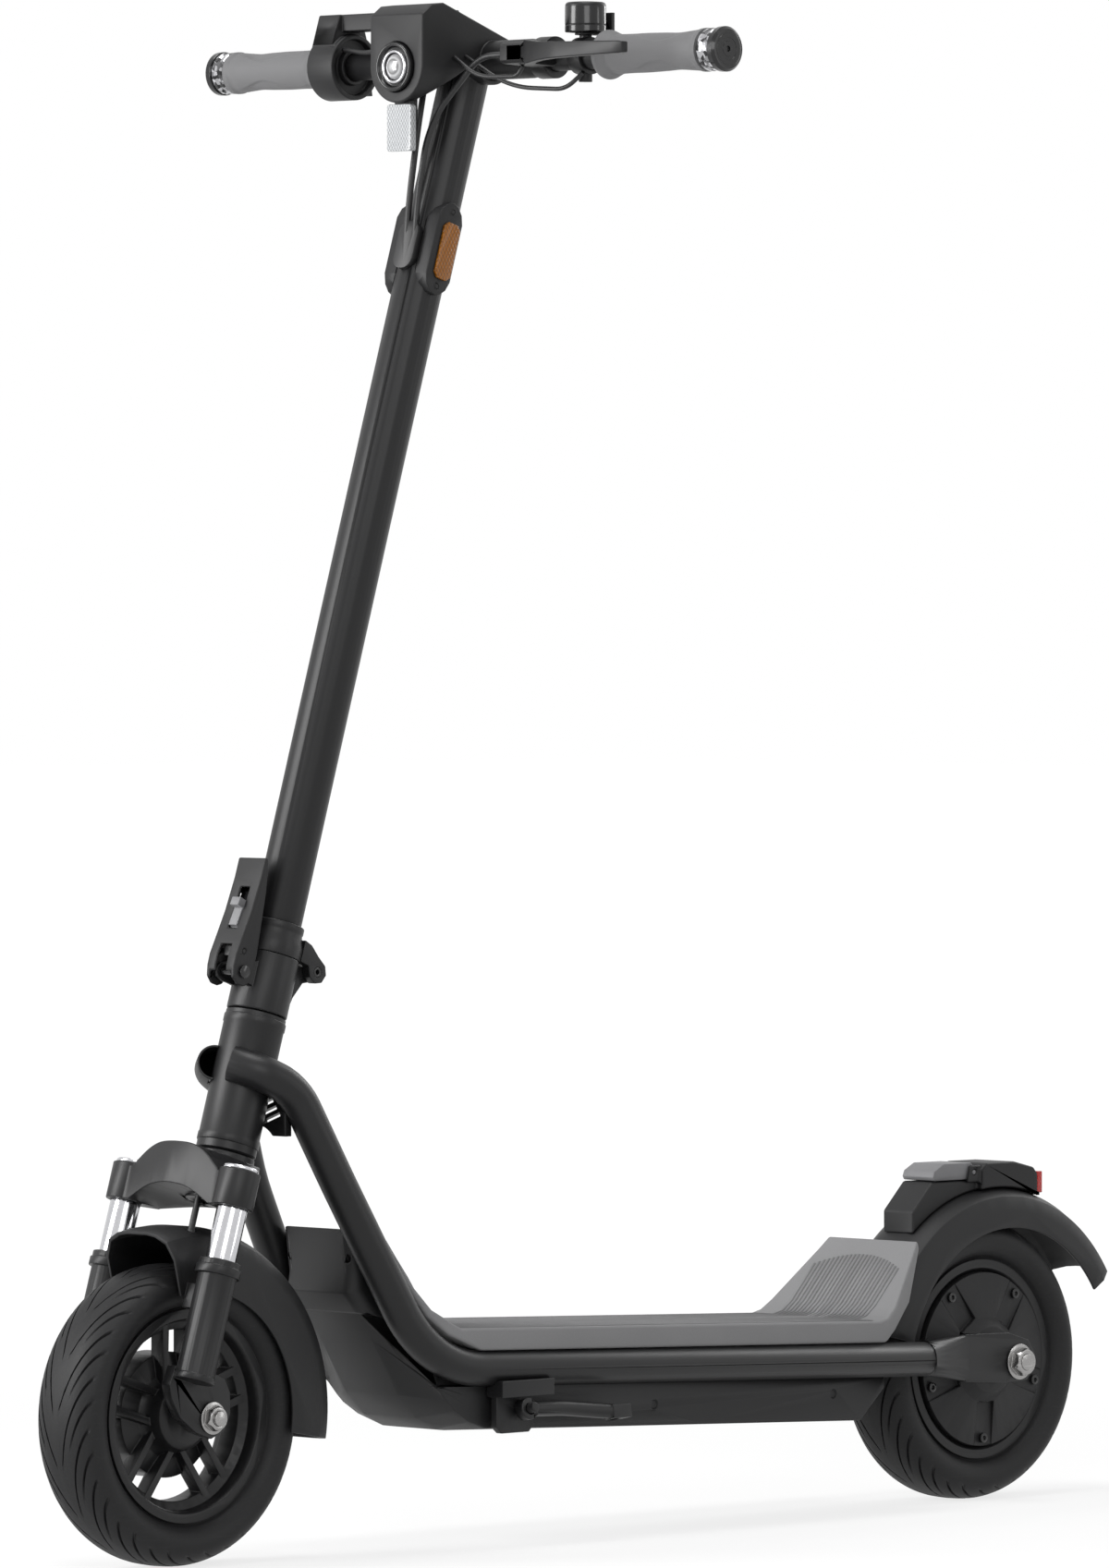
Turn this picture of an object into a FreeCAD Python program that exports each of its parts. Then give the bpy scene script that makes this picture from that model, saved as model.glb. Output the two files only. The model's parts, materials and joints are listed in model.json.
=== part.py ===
import FreeCAD, Part
import math
import os
import Sketcher
from FreeCAD import Placement, Rotation, Vector

# Electric kick scooter: two 240 mm pneumatic wheels, telescopic front fork, folding stem,
# twin-tube frame with a battery case under the deck and a hub motor at the rear.
# Frame: +X forward, +Y to the rider's left, +Z up, origin on the ground under the middle.

os.makedirs("parts", exist_ok=True)
doc = FreeCAD.newDocument("KickScooter")

# ---------------------------------------------------------------- driving dimensions
sheet = doc.addObject("Spreadsheet::Sheet", "Sizes")
SIZES = (
    ("front_axle_x", 478.5),
    ("wheel_base", 918.0),
    ("wheel_radius", 120.0),
    ("tread_half", 12.0),
    ("tyre_half", 33.0),
    ("rim_radius", 85.0),
    ("rim_half", 24.5),
    ("bead_radius", 79.0),
    ("rake_angle", 17.05),
    ("deck_angle", 2.0),
    ("deck_height", 153.1),
    ("axle_radius", 6.0),
    ("motor_axle_radius", 7.0),
    ("fork_spacing", 62.0),
    ("fork_offset", 37.0),
    ("leg_radius", 15.5),
    ("stanchion_radius", 12.3),
    ("fork_travel", 22.0),
    ("steerer_radius", 15.0),
    ("head_radius", 24.5),
    ("head_bottom", 221.0),
    ("head_top", 325.0),
    ("base_top", 377.0),
    ("hinge_back", 38.0),
    ("hinge_height", 375.0),
    ("hinge_pin_radius", 4.0),
    ("latch_front", 38.0),
    ("latch_height", 354.0),
    ("stem_radius", 20.0),
    ("stem_wall", 2.5),
    ("stem_top", 1112.0),
    ("bar_height", 1131.7),
    ("bar_half", 287.6),
    ("bar_radius", 11.1),
    ("bar_clamp_radius", 15.9),
    ("tube_radius", 14.5),
    ("tube_wall", 2.0),
    ("deck_half", 76.0),
    ("mat_height", 18.0),
    ("case_half", 65.0),
    ("case_wall", 2.6),
    ("fender_half", 40.0),
    ("front_fender_radius", 150.0),
    ("rear_fender_radius", 159.0),
    ("fender_wall", 2.4),
    ("head_half_width", 30.5),
)
for row, (alias, value) in enumerate(SIZES, start=1):
    sheet.set("A%d" % row, alias.replace("_", " "))
    sheet.set("B%d" % row, str(value))
    sheet.setAlias("B%d" % row, alias)
doc.recompute()


def size(text):
    """Value of a size, or of an expression in sizes written as Sizes.name."""
    if isinstance(text, (int, float)):
        return float(text)
    answer = sheet.evalExpression(text)
    return float(getattr(answer, "Value", answer))


WHEEL_R = size("Sizes.wheel_radius")
AXLE_X = size("Sizes.front_axle_x")
REAR_X = AXLE_X - size("Sizes.wheel_base")
RAKE = size("Sizes.rake_angle")

IDENTITY = Placement()
ALONG_Y = Rotation(Vector(1, 0, 0), -90)
ALONG_X = Rotation(Vector(0, 1, 0), 90)
STEER = Placement(Vector(AXLE_X, 0, WHEEL_R), Rotation(Vector(0, 1, 0), -RAKE))
DECK = Placement(Vector(AXLE_X - 500.0, 0, size("Sizes.deck_height")),
                 Rotation(Vector(0, 1, 0), -size("Sizes.deck_angle")))
UPRIGHT = Placement(Vector(AXLE_X, 0, 0), Rotation())
REAR = Placement(Vector(REAR_X, 0, WHEEL_R), Rotation())

kept = []


def keep(obj, label):
    """Give a finished sub-part the name of its node."""
    obj.Label = label
    kept.append(obj)
    return obj


# ---------------------------------------------------------------- building blocks
def origin_plane(body, role):
    return [item for item in body.Origin.OriginFeatures if item.Role == role][0]


def bind(obj, prop, value):
    """Set a property, through the sheet when the value is an expression."""
    if isinstance(value, str):
        obj.setExpression(prop, value)
    else:
        setattr(obj, prop, value)


def polygon_sketch(body, name, points):
    """Closed polygon on the XZ plane with every corner held by two dimensions."""
    sketch = body.newObject("Sketcher::SketchObject", name)
    sketch.AttachmentSupport = [(origin_plane(body, "XZ_Plane"), "")]
    sketch.MapMode = "FlatFace"
    spots = [(size(a), size(b)) for a, b in points]
    count = len(spots)
    for index in range(count):
        a = spots[index]
        b = spots[(index + 1) % count]
        sketch.addGeometry(Part.LineSegment(Vector(a[0], a[1], 0), Vector(b[0], b[1], 0)), False)
    for index in range(count):
        sketch.addConstraint(Sketcher.Constraint("Coincident", index, 2, (index + 1) % count, 1))
    for index in range(count):
        for axis, kind in ((0, "DistanceX"), (1, "DistanceY")):
            value = spots[index][axis]
            if abs(value) < 1e-9:
                line = -2 if axis == 0 else -1
                sketch.addConstraint(Sketcher.Constraint("PointOnObject", index, 1, line))
                continue
            rule = sketch.addConstraint(Sketcher.Constraint(kind, -1, 1, index, 1, value))
            if isinstance(points[index][axis], str):
                sketch.setExpression("Constraints[%d]" % rule, points[index][axis])
    return sketch


def turned(name, points, place=IDENTITY):
    """Body turned about its own Z axis from a (radius, height) polygon."""
    body = doc.addObject("PartDesign::Body", name)
    sketch = polygon_sketch(body, name + "Profile", points)
    turn = body.newObject("PartDesign::Revolution", name + "Turn")
    turn.Profile = sketch
    turn.ReferenceAxis = (sketch, ["V_Axis"])
    turn.Angle = 360
    body.Placement = place
    return body


def padded(name, points, width, place=IDENTITY):
    """Body padded both ways along Y from an (x, z) polygon."""
    body = doc.addObject("PartDesign::Body", name)
    sketch = polygon_sketch(body, name + "Profile", points)
    pad = body.newObject("PartDesign::Pad", name + "Pad")
    pad.Profile = sketch
    pad.SideType = "Symmetric"
    bind(pad, "Length", width)
    body.Placement = place
    return body


def rod(name, radius, length, place=IDENTITY):
    obj = doc.addObject("Part::Cylinder", name)
    bind(obj, "Radius", radius)
    bind(obj, "Height", length)
    obj.Placement = place
    return obj


def block(name, lx, ly, lz, centre, turn=Rotation()):
    obj = doc.addObject("Part::Box", name)
    bind(obj, "Length", lx)
    bind(obj, "Width", ly)
    bind(obj, "Height", lz)
    corner = Vector(-size(lx) / 2, -size(ly) / 2, -size(lz) / 2)
    obj.Placement = Placement(centre, turn).multiply(Placement(corner, Rotation()))
    return obj


def joined(name, parts, place=IDENTITY):
    obj = doc.addObject("Part::MultiFuse", name)
    obj.Shapes = parts
    obj.Refine = True
    obj.Placement = place
    return obj


def cut(name, base, tool, place=IDENTITY):
    obj = doc.addObject("Part::Cut", name)
    obj.Base = base
    obj.Tool = tool
    obj.Refine = True
    obj.Placement = place
    return obj


def solid(name, shape, place=IDENTITY):
    """Free-form piece whose shape is made with Part's own functions."""
    obj = doc.addObject("Part::Feature", name)
    obj.Shape = shape
    obj.Placement = place
    return obj


def at(x, y, z, turn=Rotation()):
    return Placement(Vector(x, y, z), turn)


# ---------------------------------------------------------------- shape functions
def cyl(radius, length, base, axis=Vector(0, 0, 1)):
    return Part.makeCylinder(radius, length, base, axis)


def brick(x0, x1, y0, y1, z0, z1):
    return Part.makeBox(x1 - x0, y1 - y0, z1 - z0, Vector(x0, y0, z0))


def plate_xz(points, y0, y1):
    """Prism of an (x, z) polygon between two heights along Y."""
    corners = [Vector(x, y0, z) for x, z in points]
    face = Part.Face(Part.makePolygon(corners + corners[:1]))
    return face.extrude(Vector(0, y1 - y0, 0))


def prism(corners, sweep):
    face = Part.Face(Part.makePolygon(corners + corners[:1]))
    return face.extrude(sweep)


def smooth_plate_xz(pieces, y0, y1):
    """Prism of a closed outline in XZ made of straight runs and smooth curves."""
    edges = []
    for kind, points in pieces:
        spots = [Vector(x, y0, z) for x, z in points]
        if kind == "curve":
            curve = Part.BSplineCurve()
            curve.interpolate(spots)
            edges.append(curve.toShape())
        else:
            edges.extend(Part.makeLine(a, b) for a, b in zip(spots, spots[1:]))
    face = Part.Face(Part.Wire(edges))
    return face.extrude(Vector(0, y1 - y0, 0))


def moved(shape, place):
    """Copy of a shape with a placement worked into its geometry."""
    return shape.transformed(place.toMatrix(), True)


def mirror_y(shape):
    return shape.mirror(Vector(0, 0, 0), Vector(0, 1, 0))


def rounded_path(points, radii):
    """Straight runs through the points joined by tangent arcs."""
    edges = []
    last = points[0]
    for index in range(1, len(points) - 1):
        before = points[index - 1]
        corner = points[index]
        after = points[index + 1]
        back = (before - corner).normalize()
        ahead = (after - corner).normalize()
        turn = math.pi - back.getAngle(ahead)
        radius = radii[index - 1]
        reach = radius * math.tan(turn / 2)
        start = corner + back * reach
        end = corner + ahead * reach
        centre_way = (back + ahead).normalize()
        centre = corner + centre_way * (radius / math.cos(turn / 2))
        middle = centre - centre_way * radius
        edges.append(Part.LineSegment(last, start).toShape())
        edges.append(Part.Arc(start, middle, end).toShape())
        last = end
    edges.append(Part.LineSegment(last, points[-1]).toShape())
    return Part.Wire(edges)


def pipe(points, radii, radius):
    """Round bar along a path of straight runs and tangent arcs."""
    path = rounded_path(points, radii)
    way = (points[1] - points[0]).normalize()
    ring = Part.Wire(Part.makeCircle(radius, points[0], way))
    return path.makePipeShell([ring], True, False)


def cord(label, points, radius):
    """Cable along its route, each bend as large as its two runs allow."""
    radii = []
    for index in range(1, len(points) - 1):
        back = points[index - 1] - points[index]
        ahead = points[index + 1] - points[index]
        turn = math.pi - back.getAngle(ahead)
        short = min(back.Length, ahead.Length)
        radii.append(0.45 * short / math.tan(turn / 2))
    shape = pipe(points, radii, radius)
    route = rounded_path(points, radii)
    expected = math.pi * radius ** 2 * route.Length
    print(label, "length", round(route.Length, 1), "radii", [round(r, 1) for r in radii],
          "volume ratio", round(shape.Volume / expected, 4))
    return shape


def tyre_profile():
    """Horseshoe section of a tyre as (radius, along) corners."""
    outer = ((79.1, 21.7), (86.0, 21.7), (88.5, 25.5), (92.0, 29.4), (97.0, 32.3),
             (102.0, "Sizes.tyre_half"), (107.0, 31.8), (111.5, 28.8), (115.5, 24.0),
             (118.3, 18.0), ("Sizes.wheel_radius", "Sizes.tread_half"))
    inner = ((112.5, 9.0), (111.0, 16.0), (107.5, 22.5), (102.0, 27.0), (96.5, 26.0),
             (91.0, 21.5), (86.5, 16.5), (79.1, 13.0))

    def other(value):
        return "-" + value if isinstance(value, str) else -value

    return (list(outer) + [(r, other(a)) for r, a in reversed(outer)]
            + [(r, other(a)) for r, a in reversed(inner)] + list(inner))


def rim_profile():
    """Deep drop-centre rim section as (radius, along) corners."""
    half = (("Sizes.rim_radius", "Sizes.rim_half"), ("Sizes.rim_radius", "Sizes.rim_half - 2.5"),
            ("Sizes.bead_radius", "Sizes.rim_half - 2.5"), ("Sizes.bead_radius", 12.0), (71.0, 9.0))
    back = ((68.0, 9.0), (75.5, 13.0), (75.5, 20.5), (77.5, "Sizes.rim_half"))

    def other(value):
        return "-(" + value + ")" if isinstance(value, str) else -value

    return (list(half) + [(r, other(a)) for r, a in reversed(half)]
            + [(r, other(a)) for r, a in reversed(back)] + list(back))


FRONT_HUB = Placement(Vector(AXLE_X, 0, WHEEL_R), ALONG_Y)
REAR_HUB = Placement(Vector(REAR_X, 0, WHEEL_R), ALONG_Y)

# ---------------------------------------------------------------- front wheel
keep(turned("FrontTyre", tyre_profile(), FRONT_HUB), "front_tyre")

ring = turned("FrontRimRing", rim_profile())
keep_bore = "Sizes.axle_radius + 0.04"
hub = turned("FrontHub", [(keep_bore, -6.0), (keep_bore, 24.0), (22.0, 24.0), (27.0, 20.0),
                          (30.0, 8.0), (34.0, 3.0), (50.0, 0.0), (50.0, -27.0), (42.0, -27.0),
                          (42.0, -6.0)])
SPOKE_PAIRS = 5
spokes = []
for pair in range(SPOKE_PAIRS):
    heading = 54.0 + 72.0 * pair
    for side in (-1, 1):
        bar = brick(24.0, 71.5, side * 12.0 - 3.0, side * 12.0 + 3.0, -3.0, 11.0)
        bar.rotate(Vector(0, 0, 0), Vector(0, 0, 1), heading)
        spokes.append(bar)
spoke_set = solid("FrontSpokes", spokes[0].multiFuse(spokes[1:]))
keep(joined("FrontRim", [ring, hub, spoke_set], FRONT_HUB), "front_rim")

# ---------------------------------------------------------------- rear wheel with hub motor
MOTOR_BORE = "Sizes.motor_axle_radius + 0.04"
keep(turned("RearTyre", tyre_profile(), REAR_HUB), "rear_tyre")
keep(turned("MotorShell", rim_profile()[:5] + [(71.0, -9.0), ("Sizes.bead_radius", -12.0),
            ("Sizes.bead_radius", "-(Sizes.rim_half - 2.5)"),
            ("Sizes.rim_radius", "-(Sizes.rim_half - 2.5)"),
            ("Sizes.rim_radius", "-Sizes.rim_half"), (77.5, "-Sizes.rim_half"), (74.5, -29.0),
            (34.0, -31.0), (26.0, -38.0), (MOTOR_BORE, -38.0), (MOTOR_BORE, -26.0), (66.0, -26.0),
            (66.0, 20.5),
            (74.2, 20.5), (77.5, "Sizes.rim_half")], REAR_HUB), "motor_shell")

cover_disc = turned("CoverDisc", [(MOTOR_BORE, 20.8), (73.9, 20.8), (73.9, 27.5), (36.0, 31.0),
                                  (28.0, 38.0), (MOTOR_BORE, 38.0)])
pads = []
for index in range(5):
    heading = 18.0 + 72.0 * index
    pad = brick(36.0, 74.5, -10.5, 10.5, 27.0, 36.0)
    pad.rotate(Vector(0, 0, 0), Vector(0, 0, 1), heading)
    hole = cyl(2.6, 20.0, Vector(67.0, 0, 18.0))
    hole.rotate(Vector(0, 0, 0), Vector(0, 0, 1), heading)
    pads.append(pad.fuse(hole))
keep(cut("MotorCover", cover_disc, solid("CoverPads", pads[0].multiFuse(pads[1:])), REAR_HUB),
     "motor_cover")
screws = []
for index in range(5):
    heading = math.radians(18.0 + 72.0 * index)
    spot = Vector(67.0 * math.cos(heading), 67.0 * math.sin(heading), 0)
    shank = cyl(2.5, 6.0, spot + Vector(0, 0, 21.0))
    head = cyl(4.2, 2.6, spot + Vector(0, 0, 27.0))
    socket = cyl(1.9, 1.6, spot + Vector(0, 0, 28.0))
    screws.append(shank.fuse(head).cut(socket))
keep(solid("CoverScrews", Part.makeCompound(screws), REAR_HUB), "motor_cover_screws")

keep(turned("MotorStator", [("Sizes.motor_axle_radius", -16.0), (24.0, -16.0), (24.0, -12.0),
                            (64.0, -12.0), (64.0, 12.0), (24.0, 12.0), (24.0, 16.0),
                            ("Sizes.motor_axle_radius", 16.0)], REAR_HUB), "motor_stator")
keep(turned("RearAxle", [(0.0, -80.0), ("Sizes.motor_axle_radius", -80.0),
                         ("Sizes.motor_axle_radius", -62.0), (9.5, -62.0), (9.5, -39.0),
                         ("Sizes.motor_axle_radius", -39.0), ("Sizes.motor_axle_radius", 39.0),
                         (9.5, 39.0), (9.5, 62.0), ("Sizes.motor_axle_radius", 62.0),
                         ("Sizes.motor_axle_radius", 80.0), (0.0, 80.0)], REAR_HUB), "rear_axle")


def axle_nut(inner, flat, y0, washer, nut):
    """Washer and flanged hexagon nut on an axle along Z."""
    ring_part = cyl(flat * 0.72, washer, Vector(0, 0, y0))
    hexagon = Part.makePolygon([Vector(flat / 1.732 * math.cos(math.radians(60 * k + 20)),
                                       flat / 1.732 * math.sin(math.radians(60 * k + 20)), y0 + washer)
                                for k in range(7)])
    nut_part = Part.Face(hexagon).extrude(Vector(0, 0, nut))
    cone = Part.makeCone(flat * 0.66, flat * 0.49, nut, Vector(0, 0, y0 + washer))
    return ring_part.fuse(nut_part.common(cone)).cut(cyl(inner, 60.0, Vector(0, 0, y0 - 10.0)))


rear_nut = axle_nut(7.0, 21.0, 69.2, 2.0, 8.0)
keep(solid("RearNuts", Part.makeCompound([rear_nut, rear_nut.mirror(Vector(0, 0, 0), Vector(0, 0, 1))]),
           REAR_HUB), "rear_axle_nuts")
front_nut = axle_nut(6.0, 18.0, 52.2, 1.6, 6.4)
keep(solid("FrontNuts", Part.makeCompound([front_nut,
                                           front_nut.mirror(Vector(0, 0, 0), Vector(0, 0, 1))]),
           FRONT_HUB), "front_axle_nuts")
keep(turned("FrontAxle", [(0.0, -62.5), ("Sizes.axle_radius", -62.5), ("Sizes.axle_radius", -42.0),
                          (8.5, -42.0), (8.5, -31.8), ("Sizes.axle_radius", -31.8),
                          ("Sizes.axle_radius", 24.6), (8.5, 24.6), (8.5, 42.0),
                          ("Sizes.axle_radius", 42.0), ("Sizes.axle_radius", 62.5), (0.0, 62.5)],
            FRONT_HUB), "front_axle")

# ---------------------------------------------------------------- drum brake
plate_disc = turned("BrakeDisc", [("Sizes.axle_radius", -31.6), (48.0, -31.6), (48.0, -29.4),
                                  (40.5, -29.4), (40.5, -27.0), ("Sizes.axle_radius", -27.0)])
keep(cut("BrakePlate", plate_disc, rod("CamBore", 4.06, 12.0, at(0, 30.0, -36.0)), FRONT_HUB),
     "brake_backing_plate")
cam_rod = rod("CamShaft", 4.0, 24.0, at(0, 30.0, -37.0))
cam_block = block("CamBlock", 8.0, 5.4, 12.0, Vector(0, 30.0, -19.5))
cam_core = joined("CamCore", [cam_rod, cam_block])
arm_plate = solid("ArmPlate", prism([Vector(6, 24, -37), Vector(-6, 24, -37), Vector(-22, 47, -37),
                                     Vector(-21, 52, -37), Vector(-13, 53, -37), Vector(5, 37, -37)],
                                    Vector(0, 0, 4.0)))
arm_hole = rod("ArmHole", 2.0, 12.0, at(-17.0, 49.0, -41.0))
arm_body = joined("ArmBody", [cam_core, arm_plate])
keep(cut("BrakeArm", arm_body, arm_hole, FRONT_HUB), "brake_arm")


# ---------------------------------------------------------------- fork lowers
LEG_Y = size("Sizes.fork_spacing")
LEG_P = size("Sizes.fork_offset")


def fork_leg(tag, side):
    """Lower leg with its collar and the drop-out plate that holds the axle."""
    tube = rod("LegTube" + tag, "Sizes.leg_radius", 88.0, at(LEG_P, side * LEG_Y, 21.0))
    collar = rod("LegCollar" + tag, 18.2, 7.0, at(LEG_P, side * LEG_Y, 106.5))
    lip = rod("LegLip" + tag, 16.8, 5.0, at(LEG_P, side * LEG_Y, 113.5))
    foot_ring = rod("LegFoot" + tag, 16.4, 5.0, at(LEG_P, side * LEG_Y, 21.0))
    y0 = 42.0 if side > 0 else -52.0
    drop = solid("LegDrop" + tag, plate_xz(((50, 30), (52, 14), (46, 4), (33, -8), (14, -15), (-4, -16),
                                            (-15, -7), (-18, 8), (-13, 24), (-4, 33), (20, 36)),
                                           y0, y0 + 10.0))
    body = joined("LegBody" + tag, [tube, collar, lip, foot_ring, drop])
    bore = rod("LegBore" + tag, "Sizes.stanchion_radius + 0.06", 90.0, at(LEG_P, side * LEG_Y, 38.0))
    axle_hole = rod("LegAxleHole" + tag, "Sizes.axle_radius", 40.0,
                    Placement(Vector(0, side * 47.0 - 20.0, 0), ALONG_Y))
    holes = joined("LegHoles" + tag, [bore, axle_hole])
    return cut("Leg" + tag, body, holes, STEER)


keep(fork_leg("Left", 1), "left_fork_leg")
keep(fork_leg("Right", -1), "right_fork_leg")


def coil(radius, wire, low, high, turns, spot):
    """Coil spring as stacked rings joined by a thin backbone."""
    pitch = (high - low - 2 * wire) / (turns - 1)
    rings = [Part.makeTorus(radius, wire, spot + Vector(0, 0, low + wire + pitch * k))
             for k in range(turns)]
    spine = cyl(wire * 0.7, high - low - 2 * wire, spot + Vector(radius, 0, low + wire))
    return rings[0].multiFuse(rings[1:] + [spine])


springs = [coil(8.0, 1.5, 38.4, 69.6, 5, Vector(LEG_P, side * LEG_Y, 0)) for side in (1, -1)]
keep(solid("ForkSprings", Part.makeCompound(springs), STEER), "fork_springs")

# ---------------------------------------------------------------- front fender


def fender_shell(radius, half, drop, wall, start, end):
    """Arched mudguard turned about the Y axis through its own centre."""
    def section(inset):
        r = radius - inset
        h = half - inset
        low = radius - drop
        return [Vector(low, 0, -h), Vector(r - 20, 0, -h), Vector(r - 7, 0, -h + 6),
                Vector(r - 1.5, 0, -h + 17), Vector(r, 0, -h + 27), Vector(r, 0, h - 27),
                Vector(r - 1.5, 0, h - 17), Vector(r - 7, 0, h - 6), Vector(r - 20, 0, h),
                Vector(low, 0, h)]
    outer = section(0.0)
    inner = section(wall)
    face = Part.Face(Part.makePolygon(outer + inner[::-1] + outer[:1]))
    shell = face.revolve(Vector(0, 0, 0), Vector(0, 0, 1), end - start)
    shell.rotate(Vector(0, 0, 0), Vector(0, 0, 1), start)
    return shell


# The turned section lies about local Z; ALONG_Y lays that axis along the wheel axle, and a
# turn by +a about local Z carries a point from forward towards the ground, so arcs run from -.
front_shell = fender_shell(size("Sizes.front_fender_radius"), size("Sizes.fender_half"), 51.0,
                           size("Sizes.fender_wall"), -190.0, -77.0)
cable_hole = moved(cyl(3.4, 40.0, Vector(41.0, 25.0, 120.0)), FRONT_HUB.inverse().multiply(STEER))
front_shell = front_shell.cut(cable_hole)
tabs = []
for side in (1, -1):
    tab = plate_xz(((27, 78), (46, 78), (46, 98), (27, 98)), 39.0, 50.0)
    tab = tab.cut(cyl(size("Sizes.leg_radius"), 60.0, Vector(LEG_P, LEG_Y, 60.0)))
    if side < 0:
        tab = mirror_y(tab)
    tabs.append(moved(tab, FRONT_HUB.inverse().multiply(STEER)))
front_shell = front_shell.multiFuse(tabs)
keep(solid("FrontFender", front_shell, FRONT_HUB), "front_fender")

# ---------------------------------------------------------------- crown, stanchions, steerer
crown_plan = [(54, -20), (56, 0), (54, 20), (50, 48), (50, 70), (24, 70), (14, 45), (-20, 22), (-27, 0),
              (-20, -22), (14, -45), (24, -70), (50, -70), (50, -48)]
crown_bar = prism([Vector(p, y, 162.0) for p, y in crown_plan], Vector(0, 0, 51.0))
arch = smooth_plate_xz((("line", ((-90, 150), (90, 150), (90, 162))),
                        ("curve", ((90, 162), (46, 162), (26, 172), (0, 176), (-26, 172), (-46, 162),
                                   (-90, 162))), ("line", ((-90, 162), (-90, 150)))), -80, 80)
arch.rotate(Vector(0, 0, 0), Vector(0, 0, 1), 90)
hump = smooth_plate_xz((("line", ((-90, 230), (90, 230), (90, 192))),
                        ("curve", ((90, 192), (47, 192), (33, 203), (18, 209), (0, 210), (-18, 209),
                                   (-33, 203), (-47, 192), (-90, 192))),
                        ("line", ((-90, 192), (-90, 230)))), -80, 80)
hump.rotate(Vector(0, 0, 0), Vector(0, 0, 1), 90)
crown_bar = crown_bar.cut(arch).cut(hump)
for side in (1, -1):
    crown_bar = crown_bar.fuse(cyl(16.5, 30.0, Vector(LEG_P, side * LEG_Y, 162.0)))
boss = cyl(24.0, 40.0, Vector(0, 0, 173.0))
crown_solid = solid("CrownBar", crown_bar.fuse(boss))
steerer = rod("Steerer", "Sizes.steerer_radius", "Sizes.base_top - 14 - 176", at(0, 0, 176.0))
crown_body = joined("CrownBody", [crown_solid, steerer])
crown_bore = rod("SteererBore", "Sizes.steerer_radius - 3", 220.0, at(0, 0, 170.0))
crown_clamps = [rod("CrownClamp" + tag, "Sizes.stanchion_radius", 60.0, at(LEG_P, side * LEG_Y, 150.0))
                for tag, side in (("L", 1), ("R", -1))]
crown_cable = rod("CrownCableHole", 3.4, 46.0, at(41.0, 25.0, 160.0))
keep(cut("ForkCrown", crown_body, joined("CrownHoles", [crown_bore, crown_cable] + crown_clamps), STEER),
     "fork_crown")

stanchions = []
caps = []
for side in (1, -1):
    spot = Vector(LEG_P, side * LEG_Y, 0)
    tube = cyl(size("Sizes.stanchion_radius"), 122.0, spot + Vector(0, 0, 70.0))
    tube = tube.cut(cyl(size("Sizes.stanchion_radius") - 2.2, 110.0, spot + Vector(0, 0, 74.0)))
    stanchions.append(tube)
    cap = cyl(14.4, 3.4, spot + Vector(0, 0, 192.0))
    caps.append(cap.makeChamfer(1.0, [cap.Edges[0]]).cut(cyl(5.0, 2.4, spot + Vector(0, 0, 193.4))))
keep(solid("Stanchions", Part.makeCompound(stanchions + caps), STEER), "fork_stanchions")

fork_cable = rod("ForkCableRun", 2.6, 50.0, at(41.0, 25.0, 131.0))
keep(joined("ForkCable", [fork_cable, rod("ForkCableSleeve", 3.2, 9.0, at(41.0, 25.0, 133.0))], STEER),
     "fork_brake_cable")

# ---------------------------------------------------------------- head tube and bearings
head_outer = turned("HeadTubeWall", [("Sizes.steerer_radius + 2.5", "Sizes.head_bottom"),
                                     ("Sizes.head_radius + 0.6", "Sizes.head_bottom"),
                                     ("Sizes.head_radius + 0.6", "Sizes.head_bottom + 6"),
                                     ("Sizes.head_radius", "Sizes.head_bottom + 7"),
                                     ("Sizes.head_radius", "Sizes.head_top - 7"),
                                     ("Sizes.head_radius + 0.6", "Sizes.head_top - 6"),
                                     ("Sizes.head_radius + 0.6", "Sizes.head_top"),
                                     ("Sizes.steerer_radius + 2.5", "Sizes.head_top")], STEER)
keep(head_outer, "head_tube")
low_race = turned("LowRace", [("Sizes.steerer_radius + 0.05", 213.4), (22.5, 213.4), (24.3, 215.0),
                              (24.3, "Sizes.head_bottom"), ("Sizes.steerer_radius + 0.05",
                                                            "Sizes.head_bottom")])
top_race = turned("TopRace", [("Sizes.steerer_radius + 0.05", "Sizes.head_top"),
                              (24.3, "Sizes.head_top"), (24.3, 328.0), (22.8, 328.8),
                              ("Sizes.steerer_radius + 0.05", 328.8)])
keep(joined("HeadsetBearings", [low_race, top_race], STEER), "headset_bearings")

# ---------------------------------------------------------------- fold base and collar
BACK = size("Sizes.hinge_back")
HINGE_Q = size("Sizes.hinge_height")
base_wall = turned("BaseWall", [("Sizes.steerer_radius", 329.2), (23.6, 329.2),
                                ("Sizes.head_radius", 330.2), ("Sizes.head_radius", "Sizes.base_top"),
                                (17.0, "Sizes.base_top"), (17.0, 363.0),
                                ("Sizes.steerer_radius", 363.0)])
knuckle = solid("BaseKnuckle", plate_xz(((-22, 336), (-26, 350), (-33, 364), (-45, 369), (-47, 376),
                                         (-44, 383), (-35, 384), (-29, 376.8), (-20, 376.8)), -9.8, 9.8))
lugs = [solid("BaseLug" + tag, plate_xz(((16, 344), (22, 346.5), (36.5, 346.5), (42.5, 348.5),
                                         (45, 352), (45, 356), (42.5, 360), (38, 361.7), (28, 366),
                                         (16, 368)), y0, y0 + 4.0))
        for tag, y0 in (("L", 7.6), ("R", -11.6))]
base_body = joined("BaseBody", [base_wall, knuckle] + lugs)
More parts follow.
